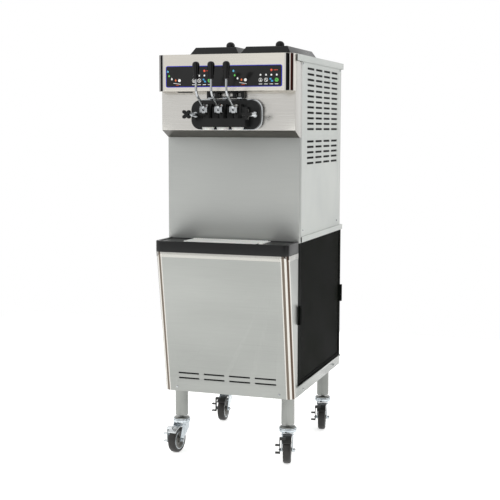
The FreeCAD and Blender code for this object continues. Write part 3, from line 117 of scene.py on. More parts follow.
def modify(piece, kind, **settings):
    """Adds a modifier and applies it."""
    clear_bench()
    bpy.context.view_layer.objects.active = piece
    piece.select_set(True)
    change = piece.modifiers.new(kind, kind)
    for name, value in settings.items():
        setattr(change, name, value)
    bpy.ops.object.modifier_apply(modifier=change.name)
    return piece


def ease(piece, width, steps=2, angle=30):
    """Rounds the sharp edges of a piece."""
    return modify(piece, "BEVEL", width=width * MM, segments=steps, limit_method="ANGLE",
                  angle_limit=math.radians(angle), use_clamp_overlap=True)


def draw_line(points):
    """Draws a chain of edges through the points, from one point that is extruded on and on."""
    clear_bench()
    bpy.ops.mesh.primitive_plane_add(size=MM, location=Vector(points[0]) * MM)
    piece = bpy.context.object
    bpy.ops.object.transform_apply(location=True, rotation=True, scale=True)
    open_piece(piece)
    bpy.ops.mesh.merge(type="CENTER")
    for here, there in zip(points, points[1:]):
        step = (Vector(there) - Vector(here)) * MM
        bpy.ops.mesh.extrude_vertices_move(TRANSFORM_OT_translate={"value": step})
    bpy.ops.mesh.select_all(action="SELECT")
    return piece


def plate(points, depth):
    """A closed outline, filled and extruded by the vector depth."""
    piece = draw_line(points)
    bpy.ops.mesh.edge_face_add()
    bpy.ops.mesh.extrude_region_move(TRANSFORM_OT_translate={"value": Vector(depth) * MM})
    return weld(piece, 0.0001)


def turned(base, axis, profile, sides=40):
    """A lathe-turned piece: the profile is (distance along the axis, radius) from end to end."""
    side = Z if abs(axis.z) < 0.5 else X
    points = [Vector(base) + axis * along + side * radius for along, radius in profile]
    piece = draw_line(points)
    bpy.ops.mesh.spin(steps=sides, angle=math.tau, center=Vector(base) * MM, axis=axis)
    return weld(piece)


def block(low, high, bevel=0.0, steps=2):
    """A square-cornered block between two corners, with eased edges."""
    clear_bench()
    low, high = Vector(low) * MM, Vector(high) * MM
    bpy.ops.mesh.primitive_cube_add(size=1, location=(low + high) / 2, scale=high - low)
    piece = bpy.context.object
    bpy.ops.object.transform_apply(location=True, rotation=True, scale=True)
    return ease(piece, bevel, steps) if bevel else piece


def arc(centre, radius, start, stop, steps):
    """Points (a, b) along an arc, in degrees."""
    return [(centre[0] + radius * math.cos(math.radians(start + (stop - start) * i / steps)),
             centre[1] + radius * math.sin(math.radians(start + (stop - start) * i / steps)))
            for i in range(steps + 1)]


def round_rectangle(low, high, radius, steps=5):
    """Outline (a, b) of a rectangle with round corners."""
    (a0, b0), (a1, b1) = low, high
    return (arc((a1 - radius, b0 + radius), radius, -90, 0, steps) + arc((a1 - radius, b1 - radius), radius,
                                                                         0, 90, steps)
            + arc((a0 + radius, b1 - radius), radius, 90, 180, steps) + arc((a0 + radius, b0 + radius),
                                                                            radius, 180, 270, steps))


def facing_front(outline, y):
    return [(a, y, b) for a, b in outline]


def facing_side(outline, x):
    return [(x, a, b) for a, b in outline]


def joined(pieces):
    """Joins finished pieces into one."""
    clear_bench()
    for piece in pieces:
        piece.select_set(True)
    bpy.context.view_layer.objects.active = pieces[0]
    bpy.ops.object.join()
    return pieces[0]


def copied(piece, move=(0, 0, 0), turn=0.0):
    """A copy with its own mesh, turned about the upright axis through the origin and then moved."""
    twin = bpy.data.objects.new(piece.name, piece.data.copy())
    bpy.context.collection.objects.link(twin)
    twin.data.transform(Matrix.Translation(Vector(move) * MM) @ Matrix.Rotation(math.radians(turn), 4, "Z"))
    return twin


def repeated(piece, moves):
    """The piece and its copies at the given moves, as one piece."""
    return joined([copied(piece, move) for move in moves if Vector(move).length > 0] + [piece])


def fit(piece, name, body, slot, finish, *nodes, smooth=35):
    """Names a finished piece, gives it its finish and puts it on its body."""
    clear_bench()
    piece.select_set(True)
    bpy.context.view_layer.objects.active = piece
    bpy.ops.object.shade_smooth_by_angle(angle=math.radians(smooth))
    piece.name = piece.data.name = name
    piece.data.materials.clear()
    piece.data.materials.append(finish)
    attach(piece, body)
    if nodes:
        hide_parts(*nodes)
    return piece


def eased_copy(node, width, steps=2, dissolve=1.0, angle=30, **options):
    """A copy of a CAD piece with its folds and corners eased, which stands for it."""
    source = frame["nodes"][node]
    slot = SLOT_OF[node]
    piece = bpy.data.objects.new(node + "_made", source.data.copy())
    bpy.context.collection.objects.link(piece)
    open_piece(piece)
    bpy.ops.mesh.remove_doubles(threshold=0.002 * MM)
    bpy.ops.mesh.dissolve_limited(angle_limit=math.radians(dissolve))
    ease(piece, width, steps, angle)
    return fit(piece, node + "_made", BODY_OF[node], slot, FINISH[slot], node, **options)


# ------------------------------------------------------------------------------------------
# Finishes
# ------------------------------------------------------------------------------------------


def linear(code):
    """A colour written as sRGB hex, as the linear colour that a shader takes."""
    values = [int(code[i:i + 2], 16) / 255 for i in (1, 3, 5)]
    return [v / 12.92 if v <= 0.04045 else ((v + 0.055) / 1.055) ** 2.4 for v in values] + [1.0]


def add(tree, kind, values=None, links=None, **settings):
    """Adds a node with its settings, its input values and what feeds its inputs."""
    made = tree.nodes.new("ShaderNode" + kind)
    for name, value in settings.items():
        setattr(made, name, value)
    for name, value in (values or {}).items():
        made.inputs[name].default_value = value
    for name, output in (links or {}).items():
        tree.links.new(output, made.inputs[name])
    return made


def finish_of(name, dark, light, roughness, grain, relief, cloud=(160, 160, 160), detail=3.0, **shader):
    """A finish whose colour and gloss vary with a fine grain and a broad cloud.

    grain and cloud are the pattern's sizes in millimetres along x, y and z, relief is the
    height of the grain in millimetres, and roughness is the span from the smoothest place
    to the roughest.
    """
    material = bpy.data.materials.new(name)
    material.use_nodes = True
    tree = material.node_tree
    tree.nodes.clear()
    place = add(tree, "TexCoord").outputs["Object"]
    fine = add(tree, "Mapping", values={"Scale": [1 / (size * MM) for size in grain]},
               links={"Vector": place})
    broad = add(tree, "Mapping", values={"Scale": [1 / (size * MM) for size in cloud]},
                links={"Vector": place})
    grains = add(tree, "TexNoise", values={"Scale": 1.0, "Detail": detail, "Roughness": 0.6},
                 links={"Vector": fine.outputs["Vector"]})
    clouds = add(tree, "TexNoise", values={"Scale": 1.0, "Detail": 2.0, "Roughness": 0.5},
                 links={"Vector": broad.outputs["Vector"]})
    both = add(tree, "Math", values={1: 0.45}, links={0: grains.outputs[0],
                                                    2: clouds.outputs[0]},
               operation="MULTIPLY_ADD")
    even = add(tree, "MapRange", values={"From Min": 0.45, "From Max": 0.95},
               links={"Value": both.outputs["Value"]})
    colour = add(tree, "ValToRGB", links={"Fac": even.outputs["Result"]})
    colour.color_ramp.elements[0].color = linear(dark)
    colour.color_ramp.elements[1].color = linear(light)
    gloss = add(tree, "MapRange", values={"To Min": roughness[0], "To Max": roughness[1]},
                links={"Value": even.outputs["Result"]})
    bump = add(tree, "Bump", values={"Strength": 1.0, "Distance": relief * MM},
               links={"Height": grains.outputs[0]})
    body = add(tree, "BsdfPrincipled", values=shader,
               links={"Base Color": colour.outputs["Color"], "Roughness": gloss.outputs["Result"],
                      "Normal": bump.outputs["Normal"]})
    add(tree, "OutputMaterial", links={"Surface": body.outputs["BSDF"]})
    return material


FINISH = {
    # Stainless sheet, brushed along its width (about 0.3 mm lines drawn 1 mm apart so that they
    # show): a soft grey metal with fine level streaks and hazy reflections.
    "satin_steel": finish_of("brushed_stainless", "#A6A8A5", "#BBBDBA", (0.3, 0.38), (140, 1.1, 1.1), 0.002,
                             cloud=(700, 300, 300), Metallic=1.0),
    # Steel sheet with a light grey baked enamel: even and satin, with a faint orange peel.
    "side_paint": finish_of("enamelled_sheet", "#C0C4C1", "#CDD0CC", (0.4, 0.5), (1.6, 1.6, 1.6), 0.006,
                            **{"Specular IOR Level": 0.3}),
    # Stainless channel, brushed along its length.
    "rail_steel": finish_of("brushed_rail_stainless", "#858885", "#999C99", (0.2, 0.3), (1.1, 120, 1.1),
                            0.003,
                            Metallic=1.0),
    # Galvanised sheet and angle: dull grey zinc with a faint spangle.
    "frame_steel": finish_of("galvanised_steel", "#8C8F8F", "#B0B3B2", (0.42, 0.6), (6, 6, 6), 0.01,
                             Metallic=1.0),
    # Injection-moulded ABS in black with a fine spark texture.
    "filter_plastic": finish_of("black_abs_filter", "#030403", "#0A0C0A", (0.6, 0.75), (0.9, 0.9, 0.9),
                                0.03,
                                **{"Specular IOR Level": 0.04}),
    # Printed polyester film: dark grey ink behind a smooth clear face.
    "overlay_film": finish_of("printed_polyester_film", "#191919", "#222222", (0.1, 0.16), (3, 3, 3), 0.001,
                              **{"Specular IOR Level": 0.22}),
    # Polished deep-drawn stainless of the mix tanks.
    "tank_steel": finish_of("polished_tank_stainless", "#C2C2BE", "#DADAD6", (0.16, 0.26), (2, 2, 40),
                            0.003,
                            Metallic=1.0),
    # Food-grade polypropylene, milky white and softly glossy.
    "white_plastic": finish_of("white_polypropylene", "#E4E4DF", "#F2F2EE", (0.28, 0.4), (2.5, 2.5, 2.5),
                               0.01,
                               **{"Subsurface Weight": 0.05}),
    # Moulded black acetal and ABS: near black and semi-gloss, with a faint flow mark.
    "black_plastic": finish_of("black_moulded_plastic", "#070808", "#131414", (0.26, 0.38), (2.2, 2.2, 2.2),
                               0.012,
                               **{"Specular IOR Level": 0.28}),
    # Phenolic hand grips and knobs, cast and tumbled to a deep gloss.
    "grip_plastic": finish_of("black_phenolic", "#030303", "#0A0A0A", (0.08, 0.14), (5, 5, 5), 0.004,
                              **{"Specular IOR Level": 0.3}),
    # Nickel-chrome plate over polished steel: mirror bright with faint polishing swirls.
    "polished_steel": finish_of("chrome_plate", "#94979A", "#C8CBCD", (0.05, 0.12), (4, 4, 4), 0.002,
                                Metallic=1.0),
    # Sand-cast aluminium, tumbled: matt silver with a pebbly skin.
    "cast_alloy": finish_of("tumbled_cast_aluminium", "#8F9092", "#B6B7B8", (0.4, 0.55), (1.5, 1.5, 1.5),
                            0.05,
                            Metallic=1.0),
    # Glass-filled nylon fan: dark grey and matt.
    "fan_plastic": finish_of("glass_filled_nylon", "#1E2021", "#2F3132", (0.5, 0.65), (1.2, 1.2, 1.2),
                             0.02),
    # Bright zinc plate over pressed steel: bluish silver with soft waves from the press.
    "caster_zinc": finish_of("bright_zinc_plate", "#A9B2B8", "#D5DBDF", (0.12, 0.26), (7, 7, 7), 0.03,
                             cloud=(25, 25, 25), Metallic=1.0),
    # Cast polyurethane tyre in black, dulled by the floor.
    "caster_tyre": finish_of("black_polyurethane", "#141312", "#262422", (0.34, 0.5), (2, 2, 2), 0.02,
                             cloud=(18, 18, 18)),
    # Bright zinc on the brake pedal that is stepped on.
    "brake_steel": finish_of("zinc_pedal", "#B4B9BC", "#D9DDDF", (0.16, 0.3), (4, 4, 4), 0.02,
                             Metallic=1.0),
    # Black electrocoat on pressed steel: smooth and semi-gloss.
    "brake_black": finish_of("black_electrocoat", "#0E0E0E", "#1D1D1C", (0.24, 0.4), (2, 2, 2), 0.01),
}
# A darker, duller copy of the brushed sheet for the sloping fold of the dispensing front: painted shade and
# painted dark reflection.
SHADED_FOLD_STEEL = finish_of("hazed_fold_stainless", "#45433D", "#55524B", (0.34, 0.44), (140, 1.1, 1.1), 0.003,
                       Metallic=0.6)
# The same sheet in a warmer and lighter copy on the head and a slightly darker one on the dispensing front,
# their lightness set to how bright each panel looks under the studio light: painted light and shade.
HEAD_STEEL = finish_of("brushed_head_stainless", "#CBC7BF", "#DFDBD2", (0.22, 0.3), (140, 1.1, 1.1), 0.002,
                       cloud=(700, 300, 300), Metallic=1.0)
DISPENSE_STEEL = finish_of("brushed_dispense_stainless", "#BBB9B5", "#CFCDC8", (0.22, 0.3), (140, 1.1, 1.1),
                           0.002,
                           cloud=(700, 300, 300), Metallic=1.0)
# Bead-blasted sheet of the neck: the brushing is almost gone and reflections melt into haze. Its grey is
# set, like the head's and the dispensing front's, to how bright the panel looks: painted light and shade.
NECK_STEEL = finish_of("blasted_neck_stainless", "#B0B2B0", "#C2C4C1", (0.58, 0.66), (140, 1.1, 1.1), 0.002,
                       cloud=(700, 300, 300), Metallic=1.0)
# A darker copy of the brushed sheet on the lower front, painted shade, and a paler copy on its turned hem,
# painted highlight. The legs' drawn tube is darker still.
FRONT_STEEL = finish_of("brushed_front_stainless", "#969895", "#A8AAA7", (0.32, 0.4), (140, 1.1, 1.1),
                        0.002,
                        cloud=(700, 300, 300), Metallic=1.0)
HEM_STEEL = finish_of("brushed_hem_stainless", "#AFAEA9", "#C1C0BB", (0.22, 0.3), (140, 1.1, 1.1), 0.002,
                      cloud=(700, 300, 300), Metallic=1.0)
LEG_STEEL = finish_of("drawn_tube_stainless", "#7E807D", "#979996", (0.22, 0.34), (1.1, 1.1, 120), 0.003,
                      Metallic=1.0)
# Plastic-coated wire of the filter mesh: an olive black, a shade paler than its frame.
COATED_WIRE = finish_of("coated_filter_wire", "#090B09", "#141711", (0.5, 0.65), (2, 2, 2), 0.01,
                        **{"Specular IOR Level": 0.1})


def fold_with_painted_reflections(name, edge, radius, bands):
    """A burnished round fold with painted reflections: bright bands and dark ones run down it.

    edge is how far out the fold ends and radius its bend, in millimetres; each band is its
    start, its stop (as shares of the bend's width) and its colour.
    """
    material = finish_of(name, "#B9B7B2", "#CFCDC8", (0.06, 0.12), (1.1, 1.1, 160), 0.001,
                         cloud=(300, 300, 700), Metallic=1.0)
    tree = material.node_tree
    body = next(node for node in tree.nodes if node.type == "BSDF_PRINCIPLED")
    steel = body.inputs["Base Color"].links[0].from_socket
    place = add(tree, "TexCoord").outputs["Object"]
    across = add(tree, "SeparateXYZ", links={"Vector": place})
    outward = add(tree, "Math", links={0: across.outputs["X"]}, operation="ABSOLUTE")
    share = add(tree, "MapRange", values={"From Min": (edge - radius) * MM, "From Max": edge * MM},
                links={"Value": outward.outputs["Value"]})
    reflection_bands = add(tree, "ValToRGB", links={"Fac": share.outputs["Result"]})
    stops = [(0.0, "#FFFFFF")]
    for start, stop, colour in bands:
        stops += [(start - 0.02, "#FFFFFF"), (start + 0.02, colour), (stop - 0.02, colour),
                  (stop + 0.02, "#FFFFFF")]
    ramp = reflection_bands.color_ramp
    while len(ramp.elements) < len(stops):
        ramp.elements.new(1.0)
    for element, (at, colour) in zip(ramp.elements, stops):
        element.position, element.color = at, linear(colour)
    mixed = add(tree, "MixRGB", values={"Fac": 1.0}, links={"Color1": steel,
                                                            "Color2": reflection_bands.outputs["Color"]},
                blend_type="MULTIPLY")
    tree.links.new(mixed.outputs["Color"], body.inputs["Base Color"])
    return material


# Painted reflections down the round folds: dark and brown bands on the head, grey and brown ones on the
# lower front.
FOLD_BEND = 30.0
HEAD_FOLD = fold_with_painted_reflections("burnished_head_fold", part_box("head_fascia")[1].x / MM, FOLD_BEND,
                        ((0.24, 0.60, "#26282A"), (0.74, 0.97, "#54251A")))
FRONT_FOLD = fold_with_painted_reflections("burnished_front_fold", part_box("lower_front_panel")[1].x / MM, FOLD_BEND,
                         ((0.16, 0.46, "#8A8078"), (0.70, 0.90, "#6B5A50")))
# A soft black sheet with visible pores, put behind the vents and under the head where they show dark:
# painted shade.
BLACK_SHADE = finish_of("black_foam_lining", "#030303", "#0A0A0A", (0.85, 0.95), (1.5, 1.5, 1.5), 0.1)
# Machined aluminium wheel centre, and the bright band between it and the tyre.
HUB_ALLOY = finish_of("grey_cast_wheel_centre", "#5E5D5A", "#7C7B77", (0.3, 0.45), (3, 3, 3), 0.02,
                      Metallic=0.7)
# Screen inks of the control film, flat and slightly glossy, one for each colour.
INK = {name: finish_of("ink_" + name, dark, light, (0.2, 0.3), (1.5, 1.5, 1.5), 0.002)
       for name, dark, light in (("white", "#E0E0DE", "#F4F4F2"), ("cyan", "#4FA9CC", "#6CC0DE"),
                                 ("green", "#4FAE46", "#6CC85E"), ("orange", "#D8622E", "#EE7C44"),
                                 ("red", "#DE4A30", "#F26248"), ("blue", "#1E22A0", "#2C30B6"),
                                 ("sky", "#2E8CC4", "#4AA6DA"))}

SLOT_OF = {}
BODY_OF = {}
for name, thing in frame["nodes"].items():
    SLOT_OF[name] = thing.material_slots[0].material.name.split(".")[0]
    BODY_OF[name] = body_of(thing)[0]
    for holder in thing.material_slots:
        holder.material = FINISH[holder.material.name.split(".")[0]]


# ------------------------------------------------------------------------------------------
# Cabinet sheets
# ------------------------------------------------------------------------------------------

for name, width in (("lower_front_panel", 0.5), ("head_fascia", 0.6), ("neck_panel", 0.5),
                    ("top_deck", 0.6),
                    ("waist_shelf", 0.6), ("side_frames", 0.5), ("upper_side_panel_left", 0.4),
                    ("upper_side_panel_right", 0.4), ("legs", 0.8), ("door_trim_plate", 0.6),
                    ("drip_shelf", 1.0), ("drip_pan", 0.6), ("spout_caps", 0.6)):
    eased_copy(name, width)


def refinish(piece, main, second, wanted):
    """Gives a piece another finish, and a second one on the faces for which wanted(face) holds."""
    piece.data.materials.clear()
    piece.data.materials.append(main)
    piece.data.materials.append(second)
    open_piece(piece)
    pick_faces(piece, wanted)
    piece.active_material_index = 1
    bpy.ops.object.material_slot_assign()
    clear_bench()


def on_round_fold(face):
    """True on the outside of an upright front corner's bend."""
    return face.normal.y < -0.06 and 0.04 < abs(face.normal.x) < 0.998 and abs(face.normal.z) < 0.3


# The head takes its lighter copy of the sheet, painted light, with painted reflections on its round folds.
refinish(bpy.data.objects["head_fascia_made"], HEAD_STEEL, HEAD_FOLD, on_round_fold)
# The dispensing front's sloping fold takes the darker copy of the sheet: painted shade.
refinish(eased_copy("dispense_panel", 0.5), DISPENSE_STEEL, SHADED_FOLD_STEEL,
         lambda face: face.normal.y < -0.2 and face.normal.z < -0.5)
bpy.data.objects["neck_panel_made"].material_slots[0].material = NECK_STEEL
bpy.data.objects["legs_made"].material_slots[0].material = LEG_STEEL
# The hem along the top of the lower front takes the paler copy of the sheet, a painted highlight; the front
# below it the darker one, painted shade.
HEM_HEIGHT = 19.0
HEM_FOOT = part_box("lower_front_panel")[1].z - HEM_HEIGHT * MM
front = bpy.data.objects["lower_front_panel_made"]
refinish(front, FRONT_STEEL, FRONT_FOLD, on_round_fold)
front.data.materials.append(HEM_STEEL)
open_piece(front)
pick_faces(front, lambda face: face.calc_center_median().z > HEM_FOOT and not on_round_fold(face))
front.active_material_index = 2
bpy.ops.object.material_slot_assign()
clear_bench()


def box_mm(node):
    """A CAD piece's lowest and highest corners in millimetres."""
    low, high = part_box(node)
    return low / MM, high / MM


WALL = box_mm("upper_side_panel_right")[1].x
SHEET = 1.5
# Black sheets behind the side vents, so that the slots show dark: painted shade.
for side, sign in (("left", -1), ("right", 1)):
    low, high = box_mm("upper_side_panel_right")
    inner, outer = sign * (WALL - 4.5), sign * (WALL - SHEET - 0.2)
    shade_sheet = block((min(inner, outer), low.y + 4, low.z + 5), (max(inner, outer), high.y - 16, high.z - 6),
                   0.8)
    fit(shade_sheet, f"vent_lining_{side}", "cabinet", "black_plastic", BLACK_SHADE)

front_low, front_high = box_mm("lower_front_panel")
FOOT_FACE, SLOT_LOW, SLOT_HIGH = -254.0, 296.0, 334.0
LEAN_REACH = 87.0
LEAN = LEAN_REACH / (front_high.z - front_low.z)


def front_face(level):
    """How far forward the leaning front stands at a level."""
    return FOOT_FACE - LEAN * (level - front_low.z)


# A black sheet behind the front slot, so that it shows dark: painted shade.
shade_sheet = plate([(-225, front_face(SLOT_LOW) + 2, SLOT_LOW), (-225, front_face(SLOT_LOW) + 6, SLOT_LOW),
                (-225, front_face(SLOT_HIGH) + 6, SLOT_HIGH), (-225, front_face(SLOT_HIGH) + 2, SLOT_HIGH)],
               (450, 0, 0))
fit(ease(shade_sheet, 0.6), "front_vent_lining", "cabinet", "black_plastic", BLACK_SHADE)

# Pressed lips round the side vents: a thin flat ring round each slot, its inner edge raised.
VENT_LENGTH, VENT_HEIGHT, VENT_PITCH, VENT_ROW = 96.0, 8.0, 118.0, 20.4
VENT_FIRST, VENT_LEVELS = -53.0, ((1250.0, 12), (1122.0, 5))


def slot_outline(length, height, steps=4):
    half = (length - height) / 2
    return arc((half, 0), height / 2, -90, 90, steps) + arc((-half, 0), height / 2, 90, 270, steps)


def vent_lip():
    """One lip, made flat at the origin on the machine's right side."""
    lip = draw_line(facing_side(slot_outline(VENT_LENGTH + 3.0, VENT_HEIGHT + 3.0), WALL - 0.05))
    bpy.ops.mesh.edge_face_add()
    bpy.ops.mesh.inset(thickness=1.1 * MM, depth=0)
    pick_faces(lip, lambda face: len(face.verts) > 4)
    bpy.ops.transform.translate(value=(0.55 * MM, 0, 0))
    bpy.ops.mesh.inset(thickness=0.35 * MM, depth=0)
    pick_faces(lip, lambda face: len(face.verts) > 4)
    bpy.ops.transform.translate(value=(-0.9 * MM, 0, 0))
    bpy.ops.mesh.delete(type="FACE")
    bpy.ops.mesh.select_all(action="SELECT")
    bpy.ops.mesh.normals_make_consistent(inside=False)
    return modify(lip, "SOLIDIFY", thickness=0.25 * MM, offset=-1)


vents = [(0, VENT_FIRST + column * VENT_PITCH, level + row * VENT_ROW)
         for level, rows in VENT_LEVELS for row in range(rows) for column in range(4)]
lip = vent_lip()
right_lips = joined([copied(lip, move) for move in vents])
left_lips = copied(right_lips)
left_lips.data.transform(Matrix.Scale(-1, 4, X))
weld(left_lips, 0.0001)
bpy.data.objects.remove(lip)
fit(right_lips, "vent_lips_right", "cabinet", "side_paint", FINISH["side_paint"])
fit(left_lips, "vent_lips_left", "cabinet", "side_paint", FINISH["side_paint"])

# Screws with a domed head and a cross recess.


def screw_head():
    """One cross-recess screw whose flange lies on x = 0 and whose head looks along +X."""
    head = turned((0, 0, 0), X, [(0, 0), (0, 4.5), (0.5, 4.5), (1.3, 4.0), (2.0, 2.9), (2.35, 1.6),
                                 (2.45, 0)], 24)
    bits = [block((1.4, -2.2, -0.45), (3.5, 2.2, 0.45)), block((1.4, -0.45, -2.2), (3.5, 0.45, 2.2))]
    for bit in bits:
        modify(head, "BOOLEAN", object=bit, operation="DIFFERENCE", solver="EXACT")
        bpy.data.objects.remove(bit)
    return head


side_screws = [(-159, 1489), (389, 1489), (-149, 873), (353, 873), (-128, 265), (339, 265)]
FOOT_SCREW_LEVEL = front_low.z + 17
head = screw_head()
screws = [copied(head, (WALL, y, z)) for y, z in side_screws]
screws += [copied(head, (-WALL, y, z), 180) for y, z in side_screws]
tilt = math.atan(LEAN)
for x in (-205, 205):
    one = copied(head, (0, 0, 0), -90)
    one.data.transform(Matrix.Rotation(-tilt, 4, "X"))
    one.data.transform(Matrix.Translation(Vector((x, front_face(FOOT_SCREW_LEVEL), FOOT_SCREW_LEVEL)) * MM))
    screws.append(one)
screws = joined(screws)
bpy.data.objects.remove(head)
fit(screws, "cross_screws", "cabinet", SLOT_OF["panel_screws"], FINISH["polished_steel"], "panel_screws")

# Rounded ends of the bolts that hold the leg plates, seen below the front's lower edge.
bolt = turned((0, 0, front_low.z), -Z, [(0, 0), (0, 3.4), (2.2, 3.4), (3.4, 2.3), (3.9, 0)], 20)
bolts = repeated(bolt, [(x, y, 0) for x in (-232, -201, 201, 232) for y in (-205, 380)])
fit(bolts, "leg_bolts", "cabinet", "polished_steel", FINISH["polished_steel"])

# ------------------------------------------------------------------------------------------
# Control film
# ------------------------------------------------------------------------------------------

film_low, film_high = box_mm("control_overlay")
FILM_FACE = film_low.y
outline = round_rectangle((film_low.x, film_low.z), (film_high.x, film_high.z), 7)
film = ease(plate(facing_front(outline, film_high.y), (0, FILM_FACE - film_high.y, 0)), 0.25)
fit(film, "control_film", "cabinet", "overlay_film", FINISH["overlay_film"], "control_overlay")

border = draw_line(facing_front(outline, FILM_FACE - 0.12))
bpy.ops.mesh.edge_face_add()
bpy.ops.mesh.inset(thickness=2.6 * MM, depth=0)
pick_faces(border, lambda face: len(face.verts) > 4)
bpy.ops.mesh.delete(type="FACE")
border = modify(border, "SOLIDIFY", thickness=0.2 * MM, offset=0)
fit(weld(border, 0.0001), "film_border", "cabinet", "overlay_film", INK["blue"])

marks = {name: [] for name in INK}


def print_mark(colour, outline):
    """Prints a closed outline (a, b) on the film."""
    marks[colour].append(plate(facing_front(outline, FILM_FACE + 0.05), (0, -0.2, 0)))


def disc(a, b, radius):
    return arc((a, b), radius, 0, 345, 23)


def bar(a, b, length, height):
    return [(a, b), (a + length, b), (a + length, b + height), (a, b + height)]


def ring_mark(colour, a, b, radius, width):
    """A printed ring, from an outline that is inset and opened."""
    ring = draw_line(facing_front(disc(a, b, radius), FILM_FACE + 0.05))
    bpy.ops.mesh.edge_face_add()
    bpy.ops.mesh.inset(thickness=width * MM, depth=0)
    pick_faces(ring, lambda face: len(face.verts) > 4)
    bpy.ops.mesh.delete(type="FACE")
    modify(ring, "SOLIDIFY", thickness=0.3 * MM, offset=0)
    marks[colour].append(weld(ring, 0.0001))


def drop_outline(a, b, size):
    """A falling drop: a point above a round belly."""
    return [(a, b + 1.7 * size)] + arc((a, b), size, 150, 390, 10)


KEYPAD_STARTS = (0.0, 256.0)
DROPS = (("cyan", -216, 1458), ("green", -211, 1442), ("white", -200, 1431), ("orange", -185, 1426))
for start in KEYPAD_STARTS:
    for colour, a, b in DROPS:
        print_mark(colour, drop_outline(start + a, b, 3.4))
    print_mark("white", disc(start - 170, 1426, 5.4))
    print_mark("white", [(start - 194, 1416), (start - 166, 1411.5), (start - 165, 1413),
                         (start - 193, 1417.5)])
    print_mark("red", bar(start - 184, 1408.6, 11, 1.4))
    print_mark("red", disc(start - 72, 1460, 4.0))
    for a in (-63, -57.5, -52):
        print_mark("red", bar(start + a, 1459, 4, 2))
    for a in (-113, -92, -72, -52):
        print_mark("white", disc(start + a, 1443, 3.3))
        print_mark("white", bar(start + a - 6.5, 1409.5, 13, 2))
    ring_mark("white", start - 113, 1425, 7.0, 1.5)
    print_mark("white", [(start - 116, 1422), (start - 113, 1428.5), (start - 110, 1422)])
    ring_mark("white", start - 92, 1425, 7.0, 1.5)
    print_mark("white", [(start - 96, 1428), (start - 94.5, 1429.5), (start - 88, 1422),
                         (start - 89.5, 1420.5)])
    print_mark("sky", [(start - 78.5, 1431.5), (start - 72, 1431.5), (start - 72, 1424),
                       (start - 65.5, 1424),
                       (start - 65.5, 1418.5), (start - 73, 1418.5), (start - 73, 1426),
                       (start - 78.5, 1426)])
    print_mark("green", disc(start - 52, 1425, 7.0))
    print_mark("white", disc(start - 52, 1425, 2.4))
for colour, printed in marks.items():
    if printed:
        fit(joined(printed), f"film_print_{colour}", "cabinet", "overlay_film", INK[colour])

# ------------------------------------------------------------------------------------------
# Dispensing door, levers, grips and knobs
# ------------------------------------------------------------------------------------------

eased_copy("freezer_door", 1.2, 3)
VALVES = {"left": -57.0, "centre": 0.0, "right": 57.0}
PIVOT = Vector((0, -340, 1322))
ROD_Y, ROD_BEND, ROD_RADIUS = -427.0, 34.0, 4.5
grip_low, grip_high = box_mm("lever_grip_centre")


def lever_rod():
    """Bent rod of the middle lever: a disc run up the slope, spun round the bend and run upright."""
    foot = Vector((0, PIVOT.y - 10, PIVOT.z + 3))
    knee = Vector((0, ROD_Y, PIVOT.z + 5 + 0.65 * (PIVOT.y - 13 - ROD_Y)))
    slope = knee - foot
    turn = math.atan2(-slope.y, slope.z)
    reach = ROD_BEND * math.tan(turn / 2)
    clear_bench()
    bpy.ops.mesh.primitive_circle_add(vertices=20, radius=ROD_RADIUS * MM, fill_type="NGON",
                                      location=foot * MM, rotation=(turn, 0, 0))
    rod = bpy.context.object
    bpy.ops.object.transform_apply(location=True, rotation=True, scale=True)
    open_piece(rod)
    run = slope.normalized() * (slope.length - reach)
    bpy.ops.mesh.extrude_region_move(TRANSFORM_OT_translate={"value": run * MM})
    centre = Vector((0, ROD_Y + ROD_BEND, knee.z + reach))
    bpy.ops.mesh.spin(steps=10, angle=turn, center=centre * MM, axis=X)
    bpy.ops.mesh.extrude_region_move(TRANSFORM_OT_translate={"value": Z * (grip_low.z + 20 - centre.z) * MM})
    return weld(rod, 0.001)


def lever_yoke():
    """Cast yoke of the middle lever: two eyes on the pivot, a bridge before them and a tongue behind."""
    eyes = []
    for start in (-14.5, 9.5):
        outline = arc((PIVOT.y, PIVOT.z), 12.5, -110, 160, 16) + [(PIVOT.y - 17, PIVOT.z + 4),
                                                                  (PIVOT.y - 16, PIVOT.z - 13)]
        eyes.append(ease(plate(facing_side(outline, start), (5, 0, 0)), 1.4, 3))
    face = [(-14.5, PIVOT.z + 9), (-9, PIVOT.z + 6), (-6, PIVOT.z + 12), (6, PIVOT.z + 12),
            (9, PIVOT.z + 6),
            (14.5, PIVOT.z + 9), (13, PIVOT.z - 3), (6, PIVOT.z - 15.5), (-6, PIVOT.z - 15.5),
            (-13, PIVOT.z - 3)]
    bridge = plate(facing_front(face, PIVOT.y - 9), (0, -6.8, 0))
    hole = turned((0, PIVOT.y - 20, PIVOT.z - 3), Y, [(0, 0), (0, 4.2), (15, 4.2), (15, 0)], 24)
    modify(bridge, "BOOLEAN", object=hole, operation="DIFFERENCE", solver="EXACT")
    bpy.data.objects.remove(hole)
    ease(bridge, 1.2, 3)
    tongue = block((-4, PIVOT.y - 12, PIVOT.z - 3), (4, PIVOT.y + 30, PIVOT.z + 3), 1.0)
    collar_at = Vector((0, PIVOT.y - 13, PIVOT.z + 5))
    along = Vector((0, -0.838, 0.545))
    collar = turned(collar_at, along, [(0, 0), (0, 8), (9, 7.2), (13, 5.2), (13, 0)], 24)
    return eyes + [bridge, tongue, collar]


